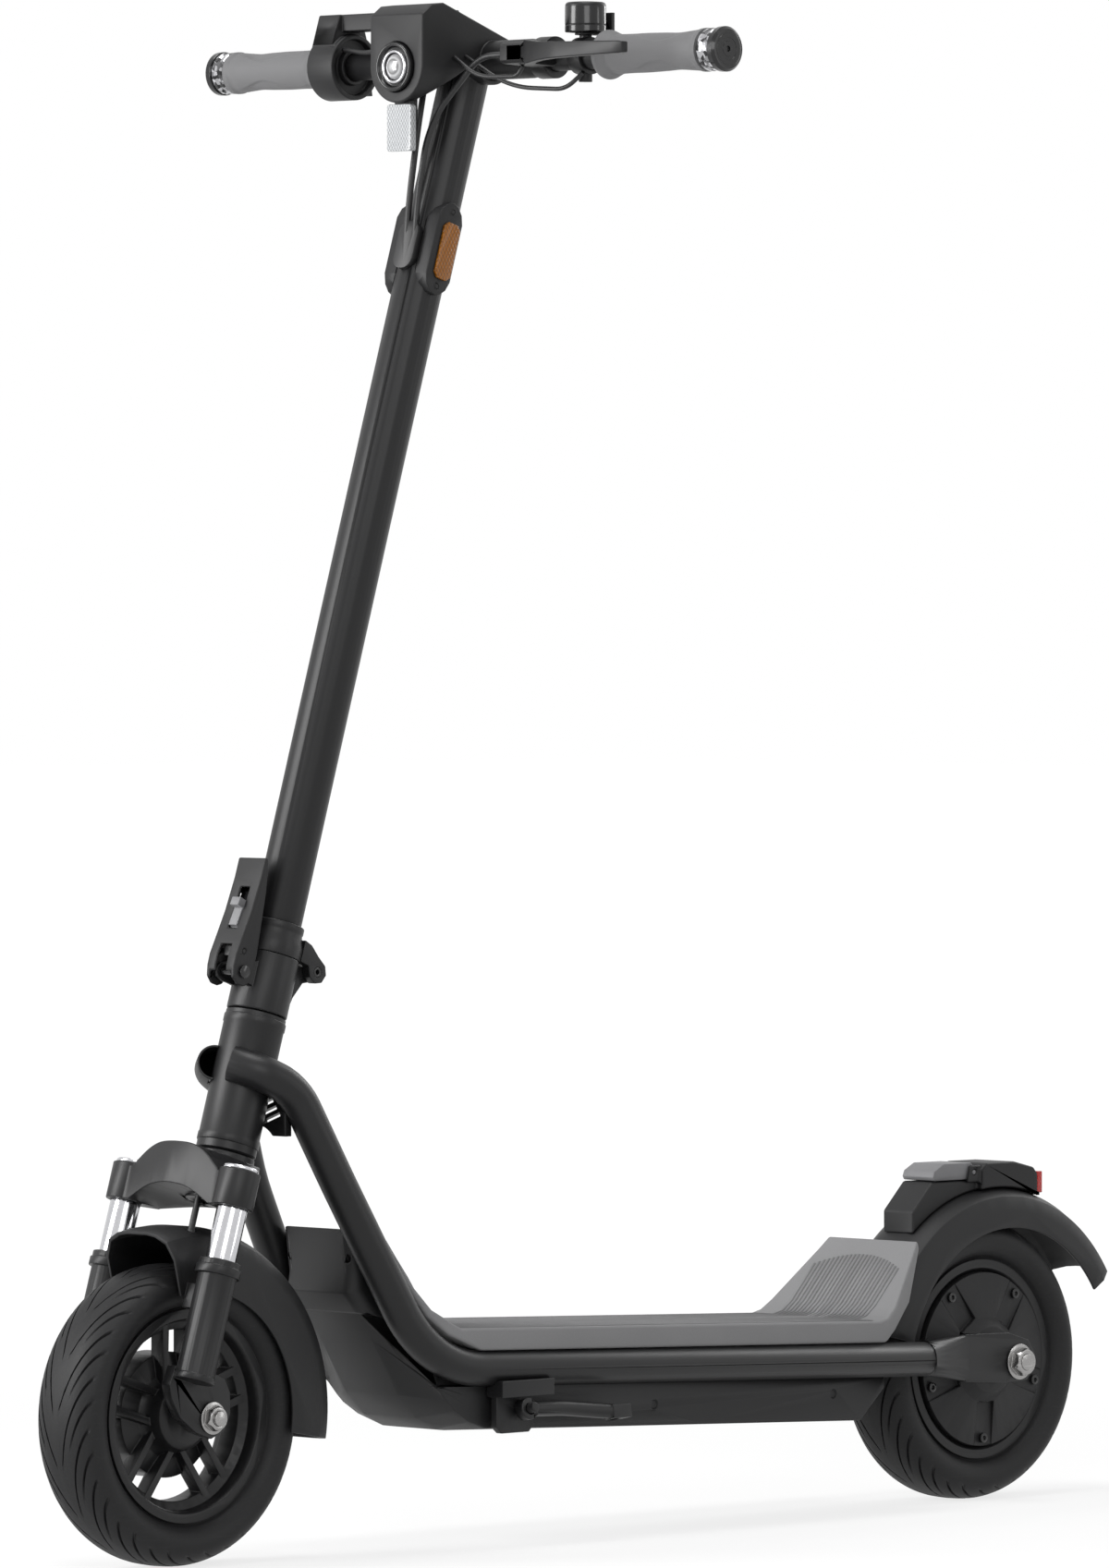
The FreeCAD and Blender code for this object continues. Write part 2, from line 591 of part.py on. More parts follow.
base_holes = joined("BaseHoles", [
    rod("BasePinHole", "Sizes.hinge_pin_radius + 0.05", 60.0,
        Placement(Vector(-BACK, -30.0, HINGE_Q), ALONG_Y)),
    rod("BaseLatchHole", 3.0, 60.0,
        Placement(Vector(size("Sizes.latch_front"), -30.0, size("Sizes.latch_height")), ALONG_Y)),
    rod("BaseCore", "Sizes.steerer_radius", 34.0, at(0, 0, 329.0))])
keep(cut("FoldBase", base_body, base_holes, STEER), "fold_base")

collar_wall = turned("CollarWall", [("Sizes.stem_radius - 4", "Sizes.base_top + 0.3"),
                                    ("Sizes.head_radius", "Sizes.base_top + 0.3"),
                                    ("Sizes.head_radius", 387.0), (22.8, 394.0), (22.4, 398.0),
                                    (22.9, 399.0), (22.9, 404.0), ("Sizes.stem_radius", 404.0),
                                    ("Sizes.stem_radius", 381.0), ("Sizes.stem_radius - 4", 381.0)])
ear_points = ((-18, 378.0), (-18, 396), (-26, 394), (-36, 387), (-45, 382), (-48, 375), (-45, 368),
              (-38, 365.5), (-31, 369), (-27.0, 377.5))
ears = [solid("Ear" + tag, plate_xz(ear_points, y0, y0 + 8.6))
        for tag, y0 in (("L", 10.1), ("R", -18.7))]
bridge = solid("EarBridge", plate_xz(((-18, 386.5), (-18, 396), (-27, 393.5), (-31, 390.5),
                                      (-31, 387.5)), -10.5, 10.5))
collar_body = joined("CollarBody", [collar_wall, bridge] + ears)
collar_holes = joined("CollarHoles", [
    rod("CollarPinHole", "Sizes.hinge_pin_radius + 0.05", 60.0,
        Placement(Vector(-BACK, -30.0, HINGE_Q), ALONG_Y)),
    rod("CollarBore", "Sizes.stem_radius - 4", 30.0, at(0, 0, 370.0)),
    rod("CollarSeat", "Sizes.stem_radius", 30.0, at(0, 0, 381.0))])
keep(cut("StemCollar", collar_body, collar_holes, STEER), "stem_collar")

# ---------------------------------------------------------------- fold latch
LATCH_P = size("Sizes.latch_front")
LATCH_Q = size("Sizes.latch_height")
lever_outline = ((28.2, 349.5), (27.2, 358), (27.4, 372), (30, 400), (32, 420), (35, 438), (38, 447.5),
                 (41, 447.5), (41.2, 431), (43.5, 403), (47.5, 378), (49.5, 366), (49.4, 356),
                 (47.5, 347.5), (42.0, 342.8), (35.0, 342.8), (30.5, 345))
lever_outer = plate_xz(lever_outline, -16.0, 16.0)
room = plate_xz(((20, 330), (20, 452), (33.5, 434), (38.5, 431), (41.0, 403), (44.8, 378), (46.7, 366),
                 (46.6, 356), (44.0, 338)), -13.4, 13.4)
slot = brick(30.0, 60.0, -5.2, 5.2, 388.0, 423.0)
front_gap = brick(40.0, 60.0, -6.0, 6.0, 338.0, 374.0).fuse(brick(40.0, 60.0, -12.2, 12.2, 338.0, 352.0))
pin_hole = cyl(3.0, 60.0, Vector(LATCH_P, -30.0, LATCH_Q), Vector(0, 1, 0))
hook_hole = cyl(2.0, 60.0, Vector(41.5, -30.0, 370.0), Vector(0, 1, 0))
keep(solid("LatchLever", lever_outer.cut(room).cut(slot).cut(front_gap).cut(pin_hole).cut(hook_hole),
           STEER), "latch_lever")
pin_shank = cyl(2.95, 32.6, Vector(LATCH_P, -16.3, LATCH_Q), Vector(0, 1, 0))
pin_heads = [cyl(5.2, 2.0, Vector(LATCH_P, y, LATCH_Q), Vector(0, 1, 0)) for y in (16.3, -18.3)]
hinge_pin = cyl(size("Sizes.hinge_pin_radius"), 37.0, Vector(-BACK, -18.5, HINGE_Q), Vector(0, 1, 0))
hinge_pin = hinge_pin.cut(cyl(2.0, 6.0, Vector(-BACK, 14.0, HINGE_Q), Vector(0, 1, 0)))
keep(solid("FoldPins", Part.makeCompound([hinge_pin, pin_shank.multiFuse(pin_heads)]), STEER),
     "fold_pins")
hook = plate_xz(((36.2, 373), (38.5, 365), (44.0, 365.4), (44.5, 373), (39.5, 386), (36.5, 397.5),
                 (29.5, 399.0), (25.6, 396), (25.4, 390), (30.0, 389)), -5.5, 5.5)
hook = hook.fuse(cyl(1.95, 31.0, Vector(41.5, -15.5, 370.0), Vector(0, 1, 0)))
keep(solid("LatchHook", hook, STEER), "latch_hook")


def lever_front(q):
    """Front face of the lever at a height along the stem."""
    return 43.5 + (q - 403.0) * (47.5 - 43.5) / (378.0 - 403.0)


SLIDE_TILT = Rotation(Vector(0, 1, 0), math.degrees(math.atan2(-4.0, 25.0)))
slider_neck = Part.makeBox(4.4, 9.6, 22.0, Vector(-3.6, -4.8, -11.0))
slider_back = Part.makeBox(1.4, 12.4, 24.0, Vector(-4.3, -6.2, -12.0))
slider_tab = Part.makeBox(6.5, 9.6, 7.0, Vector(0.0, -4.8, 4.0))
slider = slider_neck.multiFuse([slider_back, slider_tab])
slider = moved(slider, Placement(Vector(lever_front(401.0), 0, 401.0), SLIDE_TILT))
keep(solid("LatchSlider", slider, STEER), "latch_slider")

# ---------------------------------------------------------------- stem tube and handlebar
stem_wall = turned("StemWall", [("Sizes.stem_radius - Sizes.stem_wall", 381.2),
                                ("Sizes.stem_radius", 381.2), ("Sizes.stem_radius", "Sizes.stem_top"),
                                ("Sizes.stem_radius - Sizes.stem_wall", "Sizes.stem_top")])
grommet_slot = block("StemSlot", 12.0, 14.0, 22.0, Vector(20.0, 0, 969.0))
BAR_Q = size("Sizes.bar_height")
bar_centre = STEER.multVec(Vector(0, 0, BAR_Q))
clamp_sleeve = rod("ClampSleeve", "Sizes.stem_radius", 18.0, at(0, 0, size("Sizes.stem_top") - 1.0))
clamp_ring = rod("ClampRing", 19.8, 60.0, Placement(Vector(0, -30.0, BAR_Q), ALONG_Y))
clamp_bore = rod("ClampBore", "Sizes.bar_clamp_radius", 80.0,
                 Placement(Vector(0, -40.0, BAR_Q), ALONG_Y))
stem_body = joined("StemBody", [cut("StemSlotted", stem_wall, grommet_slot), clamp_sleeve, clamp_ring])
keep(cut("StemTube", stem_body, clamp_bore, STEER), "stem_tube")
BAR = Placement(bar_centre, ALONG_Y)
keep(turned("Handlebar", [(8.6, "-Sizes.bar_half"), ("Sizes.bar_radius", "-Sizes.bar_half"),
                          ("Sizes.bar_radius", -84.0), ("Sizes.bar_clamp_radius", -76.0),
                          ("Sizes.bar_clamp_radius", 76.0), ("Sizes.bar_radius", 84.0),
                          ("Sizes.bar_radius", "Sizes.bar_half"), (8.6, "Sizes.bar_half")], BAR),
     "handlebar")


def grip(side, start):
    """Contoured grip with an inner flange, from the flange out to the bar end."""
    outline = ((11.1, start), (17.5, start), (19.8, start + 2.5), (20.0, start + 5.5),
               (18.0, start + 10.0), (16.6, start + 16.0), (16.4, 205.0), (16.0, 225.0), (15.4, 240.0),
               (16.2, 256.0), (17.2, 268.0), (17.4, 274.6), (11.1, 274.6))
    corners = [Vector(r, 0, side * a) for r, a in outline]
    face = Part.Face(Part.makePolygon(corners + corners[:1]))
    return face.revolve(Vector(0, 0, 0), Vector(0, 0, 1), 360)


keep(solid("Grips", Part.makeCompound([grip(1, 158.0), grip(-1, 162.6)]), BAR), "grips")
ring_half = cyl(17.3, 12.4, Vector(0, 0, 275.0)).cut(cyl(11.15, 14.0, Vector(0, 0, 274.0)))
end_cap = cyl(18.2, 7.6, Vector(0, 0, 287.7))
end_cap = end_cap.makeChamfer(2.4, [end_cap.Edges[0]])
end_cap = end_cap.fuse(cyl(8.5, 14.0, Vector(0, 0, 276.0))).cut(cyl(2.4, 3.0, Vector(0, 0, 293.0)))
left_end = [ring_half, end_cap]
right_end = [item.mirror(Vector(0, 0, 0), Vector(0, 0, 1)) for item in left_end]
keep(solid("BarEnds", Part.makeCompound(left_end + right_end), BAR), "bar_end_caps")

# ---------------------------------------------------------------- frame tubes
TUBE_R = size("Sizes.tube_radius")
TUBE_IN = TUBE_R - size("Sizes.tube_wall")
head_core = moved(cyl(size("Sizes.head_radius"), 140.0, Vector(0, 0, 200.0)),
                  UPRIGHT.inverse().multiply(STEER))


def tube_path(side):
    return [Vector(-60, side * 9, 397), Vector(-75, side * 29, 389.5), Vector(-103, side * 37, 376),
            Vector(-137, side * 52, 300), Vector(-222, side * 68, 148.3), Vector(-800, side * 70, 128.1)]


def flat_section(x, y, z, half_y, half_z, power):
    """Closed 24-corner section across the tube, from round towards a flat strip."""
    corners = []
    for index in range(24):
        angle = 2 * math.pi * index / 24
        c = math.cos(angle)
        s = math.sin(angle)
        corners.append(Vector(x, y + half_y * math.copysign(abs(c) ** power, c),
                              z + half_z * math.copysign(abs(s) ** power, s)))
    return Part.makePolygon(corners + corners[:1])


def side_tube(side):
    """Bent tube from the head tube down along the deck to the flattened rear drop-out."""
    bends = [22.0, 50.0, 300.0, 100.0]
    outer = pipe(tube_path(side), bends, TUBE_R)
    inner = pipe(tube_path(side), bends, TUBE_IN)
    taper = Part.makeLoft([flat_section(-799.8, side * 70, 128.1, TUBE_R, TUBE_R, 1.0),
                           flat_section(-830, side * 68, 127.0, 9.0, 17.5, 0.8),
                           flat_section(-858, side * 65.6, 126.0, 3.6, 20.0, 0.4)], True, True)
    low, high = (62.0, 69.2) if side > 0 else (-69.2, -62.0)
    plate = plate_xz(((-852, 146), (-905, 145), (-930, 138), (-938, 126), (-938, 113), (-928, 104),
                      (-900, 103), (-852, 106)), low, high)
    body = outer.cut(inner).multiFuse([taper, plate])
    body = body.cut(head_core)
    body = body.cut(cyl(size("Sizes.motor_axle_radius"), 200.0, Vector(-918, -100, 120), Vector(0, 1, 0)))
    return max(body.Solids, key=lambda item: item.Volume)


tube_space = {side: pipe(tube_path(side), [22.0, 50.0, 300.0, 100.0], TUBE_R) for side in (1, -1)}
keep(solid("LeftTube", side_tube(1), UPRIGHT), "left_side_tube")
keep(solid("RightTube", mirror_y(side_tube(1)), UPRIGHT), "right_side_tube")

gusset = brick(-104.0, -97.0, -33.0, 33.0, 338.0, 384.0)
gusset = gusset.cut(head_core).cut(tube_space[1]).cut(tube_space[-1])
gusset = gusset.cut(cyl(24.0, 40.0, Vector(-120.0, 0, 322.0), Vector(1, 0, 0)))
for index in range(3):
    vent = Part.makeBox(40.0, 22.0, 3.2, Vector(-20.0, -11.0, -1.6))
    spot = Placement(Vector(-100.0, 16.0 - 4.0 * index, 352.0 + 5.5 * index), Rotation(Vector(1, 0, 0), 20))
    gusset = gusset.cut(moved(vent, spot))
keep(solid("HeadGusset", max(gusset.Solids, key=lambda item: item.Volume), UPRIGHT), "head_gusset")

# ---------------------------------------------------------------- deck
BOARD = ((-244, 0), (224, 0), (230, 2.6), (230, 12.4), (-244, 12.4))
keep(padded("DeckBoard", BOARD, "2 * (Sizes.deck_half - 6)", DECK), "deck_board")

HALF = size("Sizes.deck_half")
TOP = size("Sizes.mat_height")
mat_side = ((-248, 0), (225, 0), (234.3, 3), (262.8, 13), (283.4, 28.2), (303.5, 55.3), (326.4, 92.5),
            (317.3, 88.6), (308.8, 74.2), (293.9, 50.2), (278.3, 33.2), (258.9, 22.4),
            (247.8, TOP), (-240, TOP), (-251, 21), (-262, 30), (-300, 73), (-309, 84), (-313, 77),
            (-293, 32))
mat_plan = [(-316, 42), (-313, 50), (-300, 56), (-262, 73), (-250, HALF), (252, HALF), (268, 74.5),
            (300, 66), (318, 58), (328, 48)]
plan = [Vector(s, y, -10) for s, y in mat_plan] + [Vector(s, -y, -10) for s, y in reversed(mat_plan)]
mat = plate_xz(mat_side, -HALF, HALF).common(prism(plan, Vector(0, 0, 130)))
to_deck = DECK.inverse().multiply(UPRIGHT)
deck_space = moved(mat, to_deck.inverse())
full = mat.Volume
mat = mat.cut(plate_xz(BOARD, -HALF + 6, HALF - 6))
print("mat", round(full), "less board", round(mat.Volume))
for side in (1, -1):
    mat = mat.cut(moved(tube_space[side], to_deck))
print("mat less tubes", round(mat.Volume), len(mat.Solids))
keep(solid("DeckMat", max(mat.Solids, key=lambda item: item.Volume), DECK), "deck_mat")

# ---------------------------------------------------------------- battery case under the deck


def deck_bottom(x):
    """Height of the underside of the deck above the ground at a distance behind the axle."""
    return size("Sizes.deck_height") + (x + 500.0) * math.tan(math.radians(2.0))


def tray_top(x):
    return 138.6 + 0.035 * (x + 500.0) - TUBE_R - 0.3


KEEL = ((-175, 199), (-195, 171.4), (-224, 125.4), (-244.7, 105.7), (-265.5, 95.6), (-276, 94.3),
        (-534, 84.8), (-730, 77.4), (-759, 108))
FLANK = ((-236, 131.5), (-240, 127.5), (-246, 121), (-254, 113.5), (-270, 103.5), (-288, 97),
         (-534, 87.3), (-728, 80.0), (-757, 106))
KEEL_ROOM = ((-279, 97.1), (-534, 87.6), (-728, 80.3), (-752, 106))
FLANK_ROOM = ((-279, 103), (-534, 90.1), (-726, 82.8), (-752, 104))
SHELL_HALF = size("Sizes.case_half")
WALL = size("Sizes.case_wall")


def case_loft(keel, flank, half, fronts, rear, lower):
    """Keel in the middle blended out to the flanks; the top follows just under the tubes."""
    wires = []
    for outline, y, front in ((flank, -half, fronts[1]), (keel, -30, fronts[0]), (keel, 30, fronts[0]),
                              (flank, half, fronts[1])):
        points = list(outline) + [(rear, tray_top(rear) - lower), (front, tray_top(front) - lower)]
        corners = [Vector(x, y, z) for x, z in points]
        wires.append(Part.makePolygon(corners + corners[:1]))
    return Part.makeLoft(wires, True, True)


case_outer = case_loft(KEEL, FLANK, SHELL_HALF, (-231, -234), -757, 0.0)
upper = plate_xz(((-175, 199), (-182, 196), (-217.7, 191.2), (-237.8, 175.3), (-265.9, 164.3),
                  (-275.5, deck_bottom(-275.5)), (-742, deck_bottom(-742)), (-742, 100), (-240, 120),
                  (-224, 125.4), (-195, 171.4)), -30, 30)
shoulder = plate_xz(((-228, 178), (-237.8, 175.3), (-265.9, 164.3), (-275.5, deck_bottom(-275.5)),
                     (-742, deck_bottom(-742)), (-742, 100), (-260, 120), (-246, 130)), -54, 54)
bulge = plate_xz(((-160, 262), (-165, 225), (-163, 210), (-176, 194), (-210, 187), (-212, 195),
                  (-198.6, 219), (-177, 256.9)), -41, 41)
bulge = bulge.makeFillet(12.0, [edge for edge in bulge.Edges if edge.BoundBox.YLength < 0.01
                                and edge.BoundBox.XMin > -177.1 and edge.BoundBox.ZMin < 250])
case_shape = case_outer.multiFuse([upper, shoulder, bulge])
case_shape = case_shape.cut(tube_space[1]).cut(tube_space[-1]).cut(deck_space)

hollow = case_loft(KEEL_ROOM, FLANK_ROOM, SHELL_HALF - WALL, (-279, -279), -752, WALL)
inner_upper = plate_xz(((-278, 110), (-278, 170), (-736, 170), (-736, 95)), -54 + WALL, 54 - WALL)
front_room = plate_xz(((-171, 245), (-171, 216), (-185, 202), (-215, 150), (-240, 125), (-270, 110),
                       (-279, 110), (-279, 155), (-268, 158), (-241, 169), (-221, 184), (-202, 210),
                       (-182, 244)), -27, 27)
case_shape = case_shape.cut(hollow).cut(inner_upper).cut(front_room)
PORT = Vector(-350, 0, 110)
port_boss = cyl(9.0, 12.0, PORT + Vector(0, -SHELL_HALF + 0.2, 0), Vector(0, 1, 0))
case_shape = case_shape.fuse(port_boss)
case_shape = case_shape.cut(cyl(6.0, 11.0, PORT + Vector(0, -SHELL_HALF - 1.0, 0), Vector(0, 1, 0)))
for side in (1, -1):
    for x, z in ((-483, 106.3), (-695, 104)):
        recess = cyl(3.6, 1.6, Vector(x, side * (SHELL_HALF - 0.8) - 0.8, z), Vector(0, 1, 0))
        case_shape = case_shape.cut(recess)
    case_shape = case_shape.cut(cyl(3.4, 5.0, Vector(-169.0, side * 33, 238), Vector(1, 0, 0)))
for x in (-361.2, -341.6):
    lug = plate_xz(((x, 118), (x + 2.8, 118), (x + 2.8, 124), (x, 124)), -70.0, -SHELL_HALF + 0.5)
    case_shape = case_shape.fuse(lug)
case_shape = case_shape.fuse(cyl(1.0, 20.0, Vector(-360, -67.6, 121), Vector(1, 0, 0)))
print("case solids", len(case_shape.Solids), [round(item.Volume) for item in case_shape.Solids])
keep(solid("BatteryCase", max(case_shape.Solids, key=lambda item: item.Volume), UPRIGHT),
     "battery_case")

cover = brick(-362, -338, -67.9, -SHELL_HALF - 0.3, 100, 117).fuse(
    brick(-357.6, -342.4, -67.9, -66.6, 116, 121)).fuse(
    cyl(1.9, 15.2, Vector(-357.6, -67.6, 121), Vector(1, 0, 0)))
cover = cover.cut(cyl(1.05, 30.0, Vector(-365, -67.6, 121), Vector(1, 0, 0)))
plug = cyl(5.9, 5.0, PORT + Vector(0, -SHELL_HALF - 0.4, 0), Vector(0, 1, 0))
keep(solid("PortCover", cover.removeSplitter(), UPRIGHT), "charge_port_cover")

pack_bottom = ((-296, 99.4), (-720, 83.6))
pack = plate_xz((pack_bottom[0], pack_bottom[1], (-720, deck_bottom(-720) - 7),
                 (-296, deck_bottom(-296) - 7)), -46, 46)
keep(solid("BatteryPack", pack, UPRIGHT), "battery_pack")

# ---------------------------------------------------------------- kickstand
STAND = Vector(-316, 84, 112)
SPLAY = Rotation(Vector(1, 0, 0), 12)
stand_way = SPLAY.multVec(Vector(0, 1, 0))
bracket = brick(-347, -288, 67, 86, 122.6, 136).cut(tube_space[1])
bracket = max(bracket.Solids, key=lambda item: -item.CenterOfMass.z)
body_block = plate_xz(((-331, 97), (-327, 93), (-296, 93), (-290, 98), (-290, 124.0), (-331, 124.0)),
                      70.0, 76.8)
stand_pin = cyl(4.0, 21.0, STAND - stand_way * 9.0, stand_way)
bracket = bracket.multiFuse([body_block, stand_pin]).cut(tube_space[1])
keep(solid("StandBracket", max(bracket.Solids, key=lambda item: item.Volume), UPRIGHT),
     "kickstand_bracket")
STAND_FRAME = UPRIGHT.multiply(Placement(STAND, SPLAY))
boss_ring = cyl(8.8, 9.0, Vector(0, -4.0, 0), Vector(0, 1, 0))
shank = pipe([Vector(-4, 0.5, 0), Vector(-40, 0.5, -1), Vector(-98, 0.5, -7)], [120.0], 6.2)
foot = Part.makeBox(21.0, 13.0, 11.0, Vector(-113.0, -6.0, -13.0))
leg = boss_ring.multiFuse([shank, foot]).cut(cyl(4.06, 40.0, Vector(0, -20, 0), Vector(0, 1, 0)))
keep(solid("StandLeg", leg.removeSplitter(), STAND_FRAME), "kickstand_leg")

# ---------------------------------------------------------------- rear fender and tail
FENDER_CENTRE = Vector(-943, 0, 106)
FENDER = UPRIGHT.multiply(Placement(FENDER_CENTRE, ALONG_Y))
rear_shell = fender_shell(size("Sizes.rear_fender_radius"), size("Sizes.fender_half") - 2.0, 34.0,
                          size("Sizes.fender_wall"), -147.3, -15.0)
stay = plate_xz(((-796, 146.5), (-794, 151), (-760, 144.4), (-747.6, 144.3), (-747.6, 139.5),
                 (-764, 139.5)), -28, 28)
stay = moved(stay, FENDER.inverse().multiply(UPRIGHT))
fender_core = cyl(size("Sizes.rear_fender_radius") - 1.2, 120.0, Vector(0, 0, -60))
rear_shell = rear_shell.fuse(stay.cut(fender_core))
keep(solid("RearFender", rear_shell, FENDER), "rear_fender")

fender_disc = cyl(size("Sizes.rear_fender_radius"), 80.0, FENDER_CENTRE - Vector(0, 40, 0),
                  Vector(0, 1, 0))
housing = plate_xz(((-994, 245), (-994, 272), (-986, 281), (-962, 286.5), (-927, 286.5), (-921, 281),
                    (-921, 245)), -24, 24)
latch_base = plate_xz(((-923, 245), (-923, 272), (-866, 272), (-842, 248), (-842, 220), (-880, 220)),
                      -17.5, 17.5)
cheeks = [plate_xz(((-923, 270), (-923, 285), (-909, 285), (-906, 270)), y0, y0 + 3.4)
          for y0 in (18.5, -21.9)]
tail = housing.multiFuse([latch_base] + cheeks).cut(fender_disc)
tail = tail.cut(cyl(2.06, 60.0, Vector(-914, -30, 279), Vector(0, 1, 0)))
tail = tail.cut(brick(-996, -991, -25, 25, 258.6, 277))
keep(solid("TailHousing", max(tail.Solids, key=lambda item: item.Volume), UPRIGHT), "tail_housing")
keep(solid("TailLens", brick(-997.0, -991, -23.4, 23.4, 258.6, 277), UPRIGHT), "tail_light_lens")
rear_lever = plate_xz(((-916, 272.9), (-918.6, 276), (-918.6, 283.5), (-913, 287), (-880, 287),
                       (-868, 281), (-866, 276), (-868, 272.9)), -18, 18)
rear_lever = rear_lever.fuse(cyl(2.0, 43.0, Vector(-914, -21.5, 279), Vector(0, 1, 0)))
keep(solid("RearLever", rear_lever, UPRIGHT), "rear_latch_lever")

# ---------------------------------------------------------------- display head
bar_spot = UPRIGHT.inverse().multVec(bar_centre)
BAR_X = bar_spot.x
BAR_Z = bar_spot.z
ACROSS = Vector(0, 1, 0)
side_view = plate_xz(((-251, 1237), (-262, 1245), (-275, 1246.5), (-350, 1219), (-350, 1211),
                      (-329, 1211), (-275, 1178), (-262, 1169), (-250.5, 1164)), -40, 40)
HEAD_HALF = size("Sizes.head_half_width")
front_view = cyl(HEAD_HALF, 130.0, Vector(-370, 0, 1196.5), Vector(1, 0, 0)).fuse(
    brick(-370, -240, -HEAD_HALF, HEAD_HALF, 1196.5, 1260))
head_shape = side_view.common(front_view)
carrier = brick(-263.5, -260.0, -12, 12, 1130, 1173).fuse(brick(-268, -260.2, -8, 8, 1150, 1176))
head_shape = head_shape.fuse(carrier)
head_shape = head_shape.cut(cyl(19.85, 60.4, Vector(BAR_X, -30.2, BAR_Z), ACROSS))
head_shape = head_shape.cut(cyl(15.95, 90.0, Vector(BAR_X, -45, BAR_Z), ACROSS))
stem_room = moved(cyl(20.1, 90.0, Vector(0, 0, 1050)), UPRIGHT.inverse().multiply(STEER))
head_shape = head_shape.cut(stem_room)
lamp_seat = cyl(20.0, 14.0, Vector(-258, 0, 1195), Vector(1, 0, 0))
head_shape = head_shape.cut(lamp_seat)
SLOPE = Rotation(Vector(0, 1, 0), -math.degrees(math.atan2(27.5, 75.0)))
PANEL = Placement(Vector(-275, 0, 1246.5), SLOPE)


window = moved(brick(-43, -5, -23, 23, -2.0, 0.2), PANEL)
button_seat = moved(cyl(5.9, 12.0, Vector(-53, 0, -4.6)), PANEL)
head_shape = head_shape.cut(window).cut(button_seat)
print("head solids", [round(item.Volume) for item in head_shape.Solids])
keep(solid("DisplayHousing", max(head_shape.Solids, key=lambda item: item.Volume), UPRIGHT),
     "display_housing")
keep(solid("DisplayWindow", window, UPRIGHT), "display_window")
button = moved(cyl(5.5, 5.4, Vector(-53, 0, -3.0)), PANEL)
keep(solid("ModeButton", button, UPRIGHT), "mode_button")
lamp = cyl(20.0, 11.0, Vector(-258, 0, 1195), Vector(1, 0, 0))
lamp = lamp.cut(cyl(16.5, 4.0, Vector(-249.5, 0, 1195), Vector(1, 0, 0)))
bezel = cyl(13.2, 2.6, Vector(-250.5, 0, 1195), Vector(1, 0, 0))
lens_ball = Part.makeSphere(14.0, Vector(-259.5, 0, 1195)).common(
    cyl(11.0, 20.0, Vector(-251, 0, 1195), Vector(1, 0, 0)))
keep(solid("Headlight", lamp.multiFuse([bezel, lens_ball]), UPRIGHT), "headlight_lens")
plate = brick(-260.0, -253.6, -14, 14, 1127, 1165)
keep(solid("FrontReflector", plate.makeFillet(2.5, [edge for edge in plate.Edges
                                                    if abs(edge.BoundBox.XLength - 6.4) < 0.01]),
           UPRIGHT), "front_reflector")

# ---------------------------------------------------------------- side reflectors and grommet
stem_core = cyl(size("Sizes.stem_radius"), 120.0, Vector(0, 0, 910))


def pod(side):
    """Saddle for one reflector against the side of the stem."""
    low, high = (11.0, 24.5) if side > 0 else (-24.5, -11.0)
    base = plate_xz(((-11, 946), (-8, 938), (-2.5, 932.5), (3, 931), (8.5, 932.5), (14, 938), (17, 946),
                     (17, 994), (14, 1002), (8.5, 1007.5), (3, 1009), (-2.5, 1007.5), (-8, 1002),
                     (-11, 994)), low, high).cut(stem_core)
    base = max(base.Solids, key=lambda item: item.Volume)
    outer = 24.5 if side > 0 else -25.3
    return base.multiFuse([cyl(2.3, 0.8, Vector(3, outer, q), ACROSS) for q in (938.5, 1001.5)])


def amber(side):
    low, high = (24.5, 27.2) if side > 0 else (-27.2, -24.5)
    return plate_xz(((-8, 949), (-4, 945), (6, 945), (10, 949), (10, 988), (6, 992), (-4, 992),
                     (-8, 988)), low, high)


keep(solid("ReflectorPods", Part.makeCompound([pod(1), pod(-1)]), STEER), "reflector_pods")
keep(solid("SideReflectors", Part.makeCompound([amber(1), amber(-1)]), STEER), "side_reflectors")

# ---------------------------------------------------------------- bell
bar_ring = cyl(15.0, 14.0, Vector(BAR_X, 128, BAR_Z), ACROSS)
bell_post = cyl(5.0, 12.0, Vector(BAR_X, 135, BAR_Z + 11))
dome = cyl(16.5, 24.0, Vector(BAR_X, 135, 1221))
dome = dome.makeFillet(3.0, [edge for edge in dome.Edges if abs(edge.BoundBox.ZMin - 1245) < 0.01
                             and edge.BoundBox.ZLength < 0.01])
dome = dome.cut(cyl(14.6, 20.0, Vector(BAR_X, 135, 1220.5)))
stalk = cyl(3.0, 30.0, Vector(BAR_X, 135, 1214.5))
clamp_screw = cyl(5.5, 8.0, Vector(BAR_X, 135, 1181)).fuse(cyl(2.4, 6.0, Vector(BAR_X, 135, 1185)))
bell = bar_ring.multiFuse([bell_post, stalk, clamp_screw, dome])
bell = bell.cut(cyl(size("Sizes.bar_radius"), 40.0, Vector(BAR_X, 118, BAR_Z), ACROSS))
keep(solid("BellBody", bell, UPRIGHT), "bell_body")
thumb = cyl(8.6, 1.8, Vector(BAR_X, 135, 1218.7)).fuse(
    prism([Vector(BAR_X - 2, 129, 1218.7), Vector(BAR_X - 2, 144, 1218.7), Vector(-352.8, 147, 1218.7),
           Vector(-352.8, 137, 1218.7)], Vector(0, 0, 1.8)))
thumb = thumb.fuse(brick(-353, -349.6, 137, 147, 1216, 1237))
thumb = thumb.cut(cyl(5.06, 20.0, Vector(BAR_X, 135, 1210)))
keep(solid("BellLever", thumb.removeSplitter(), UPRIGHT), "bell_lever")

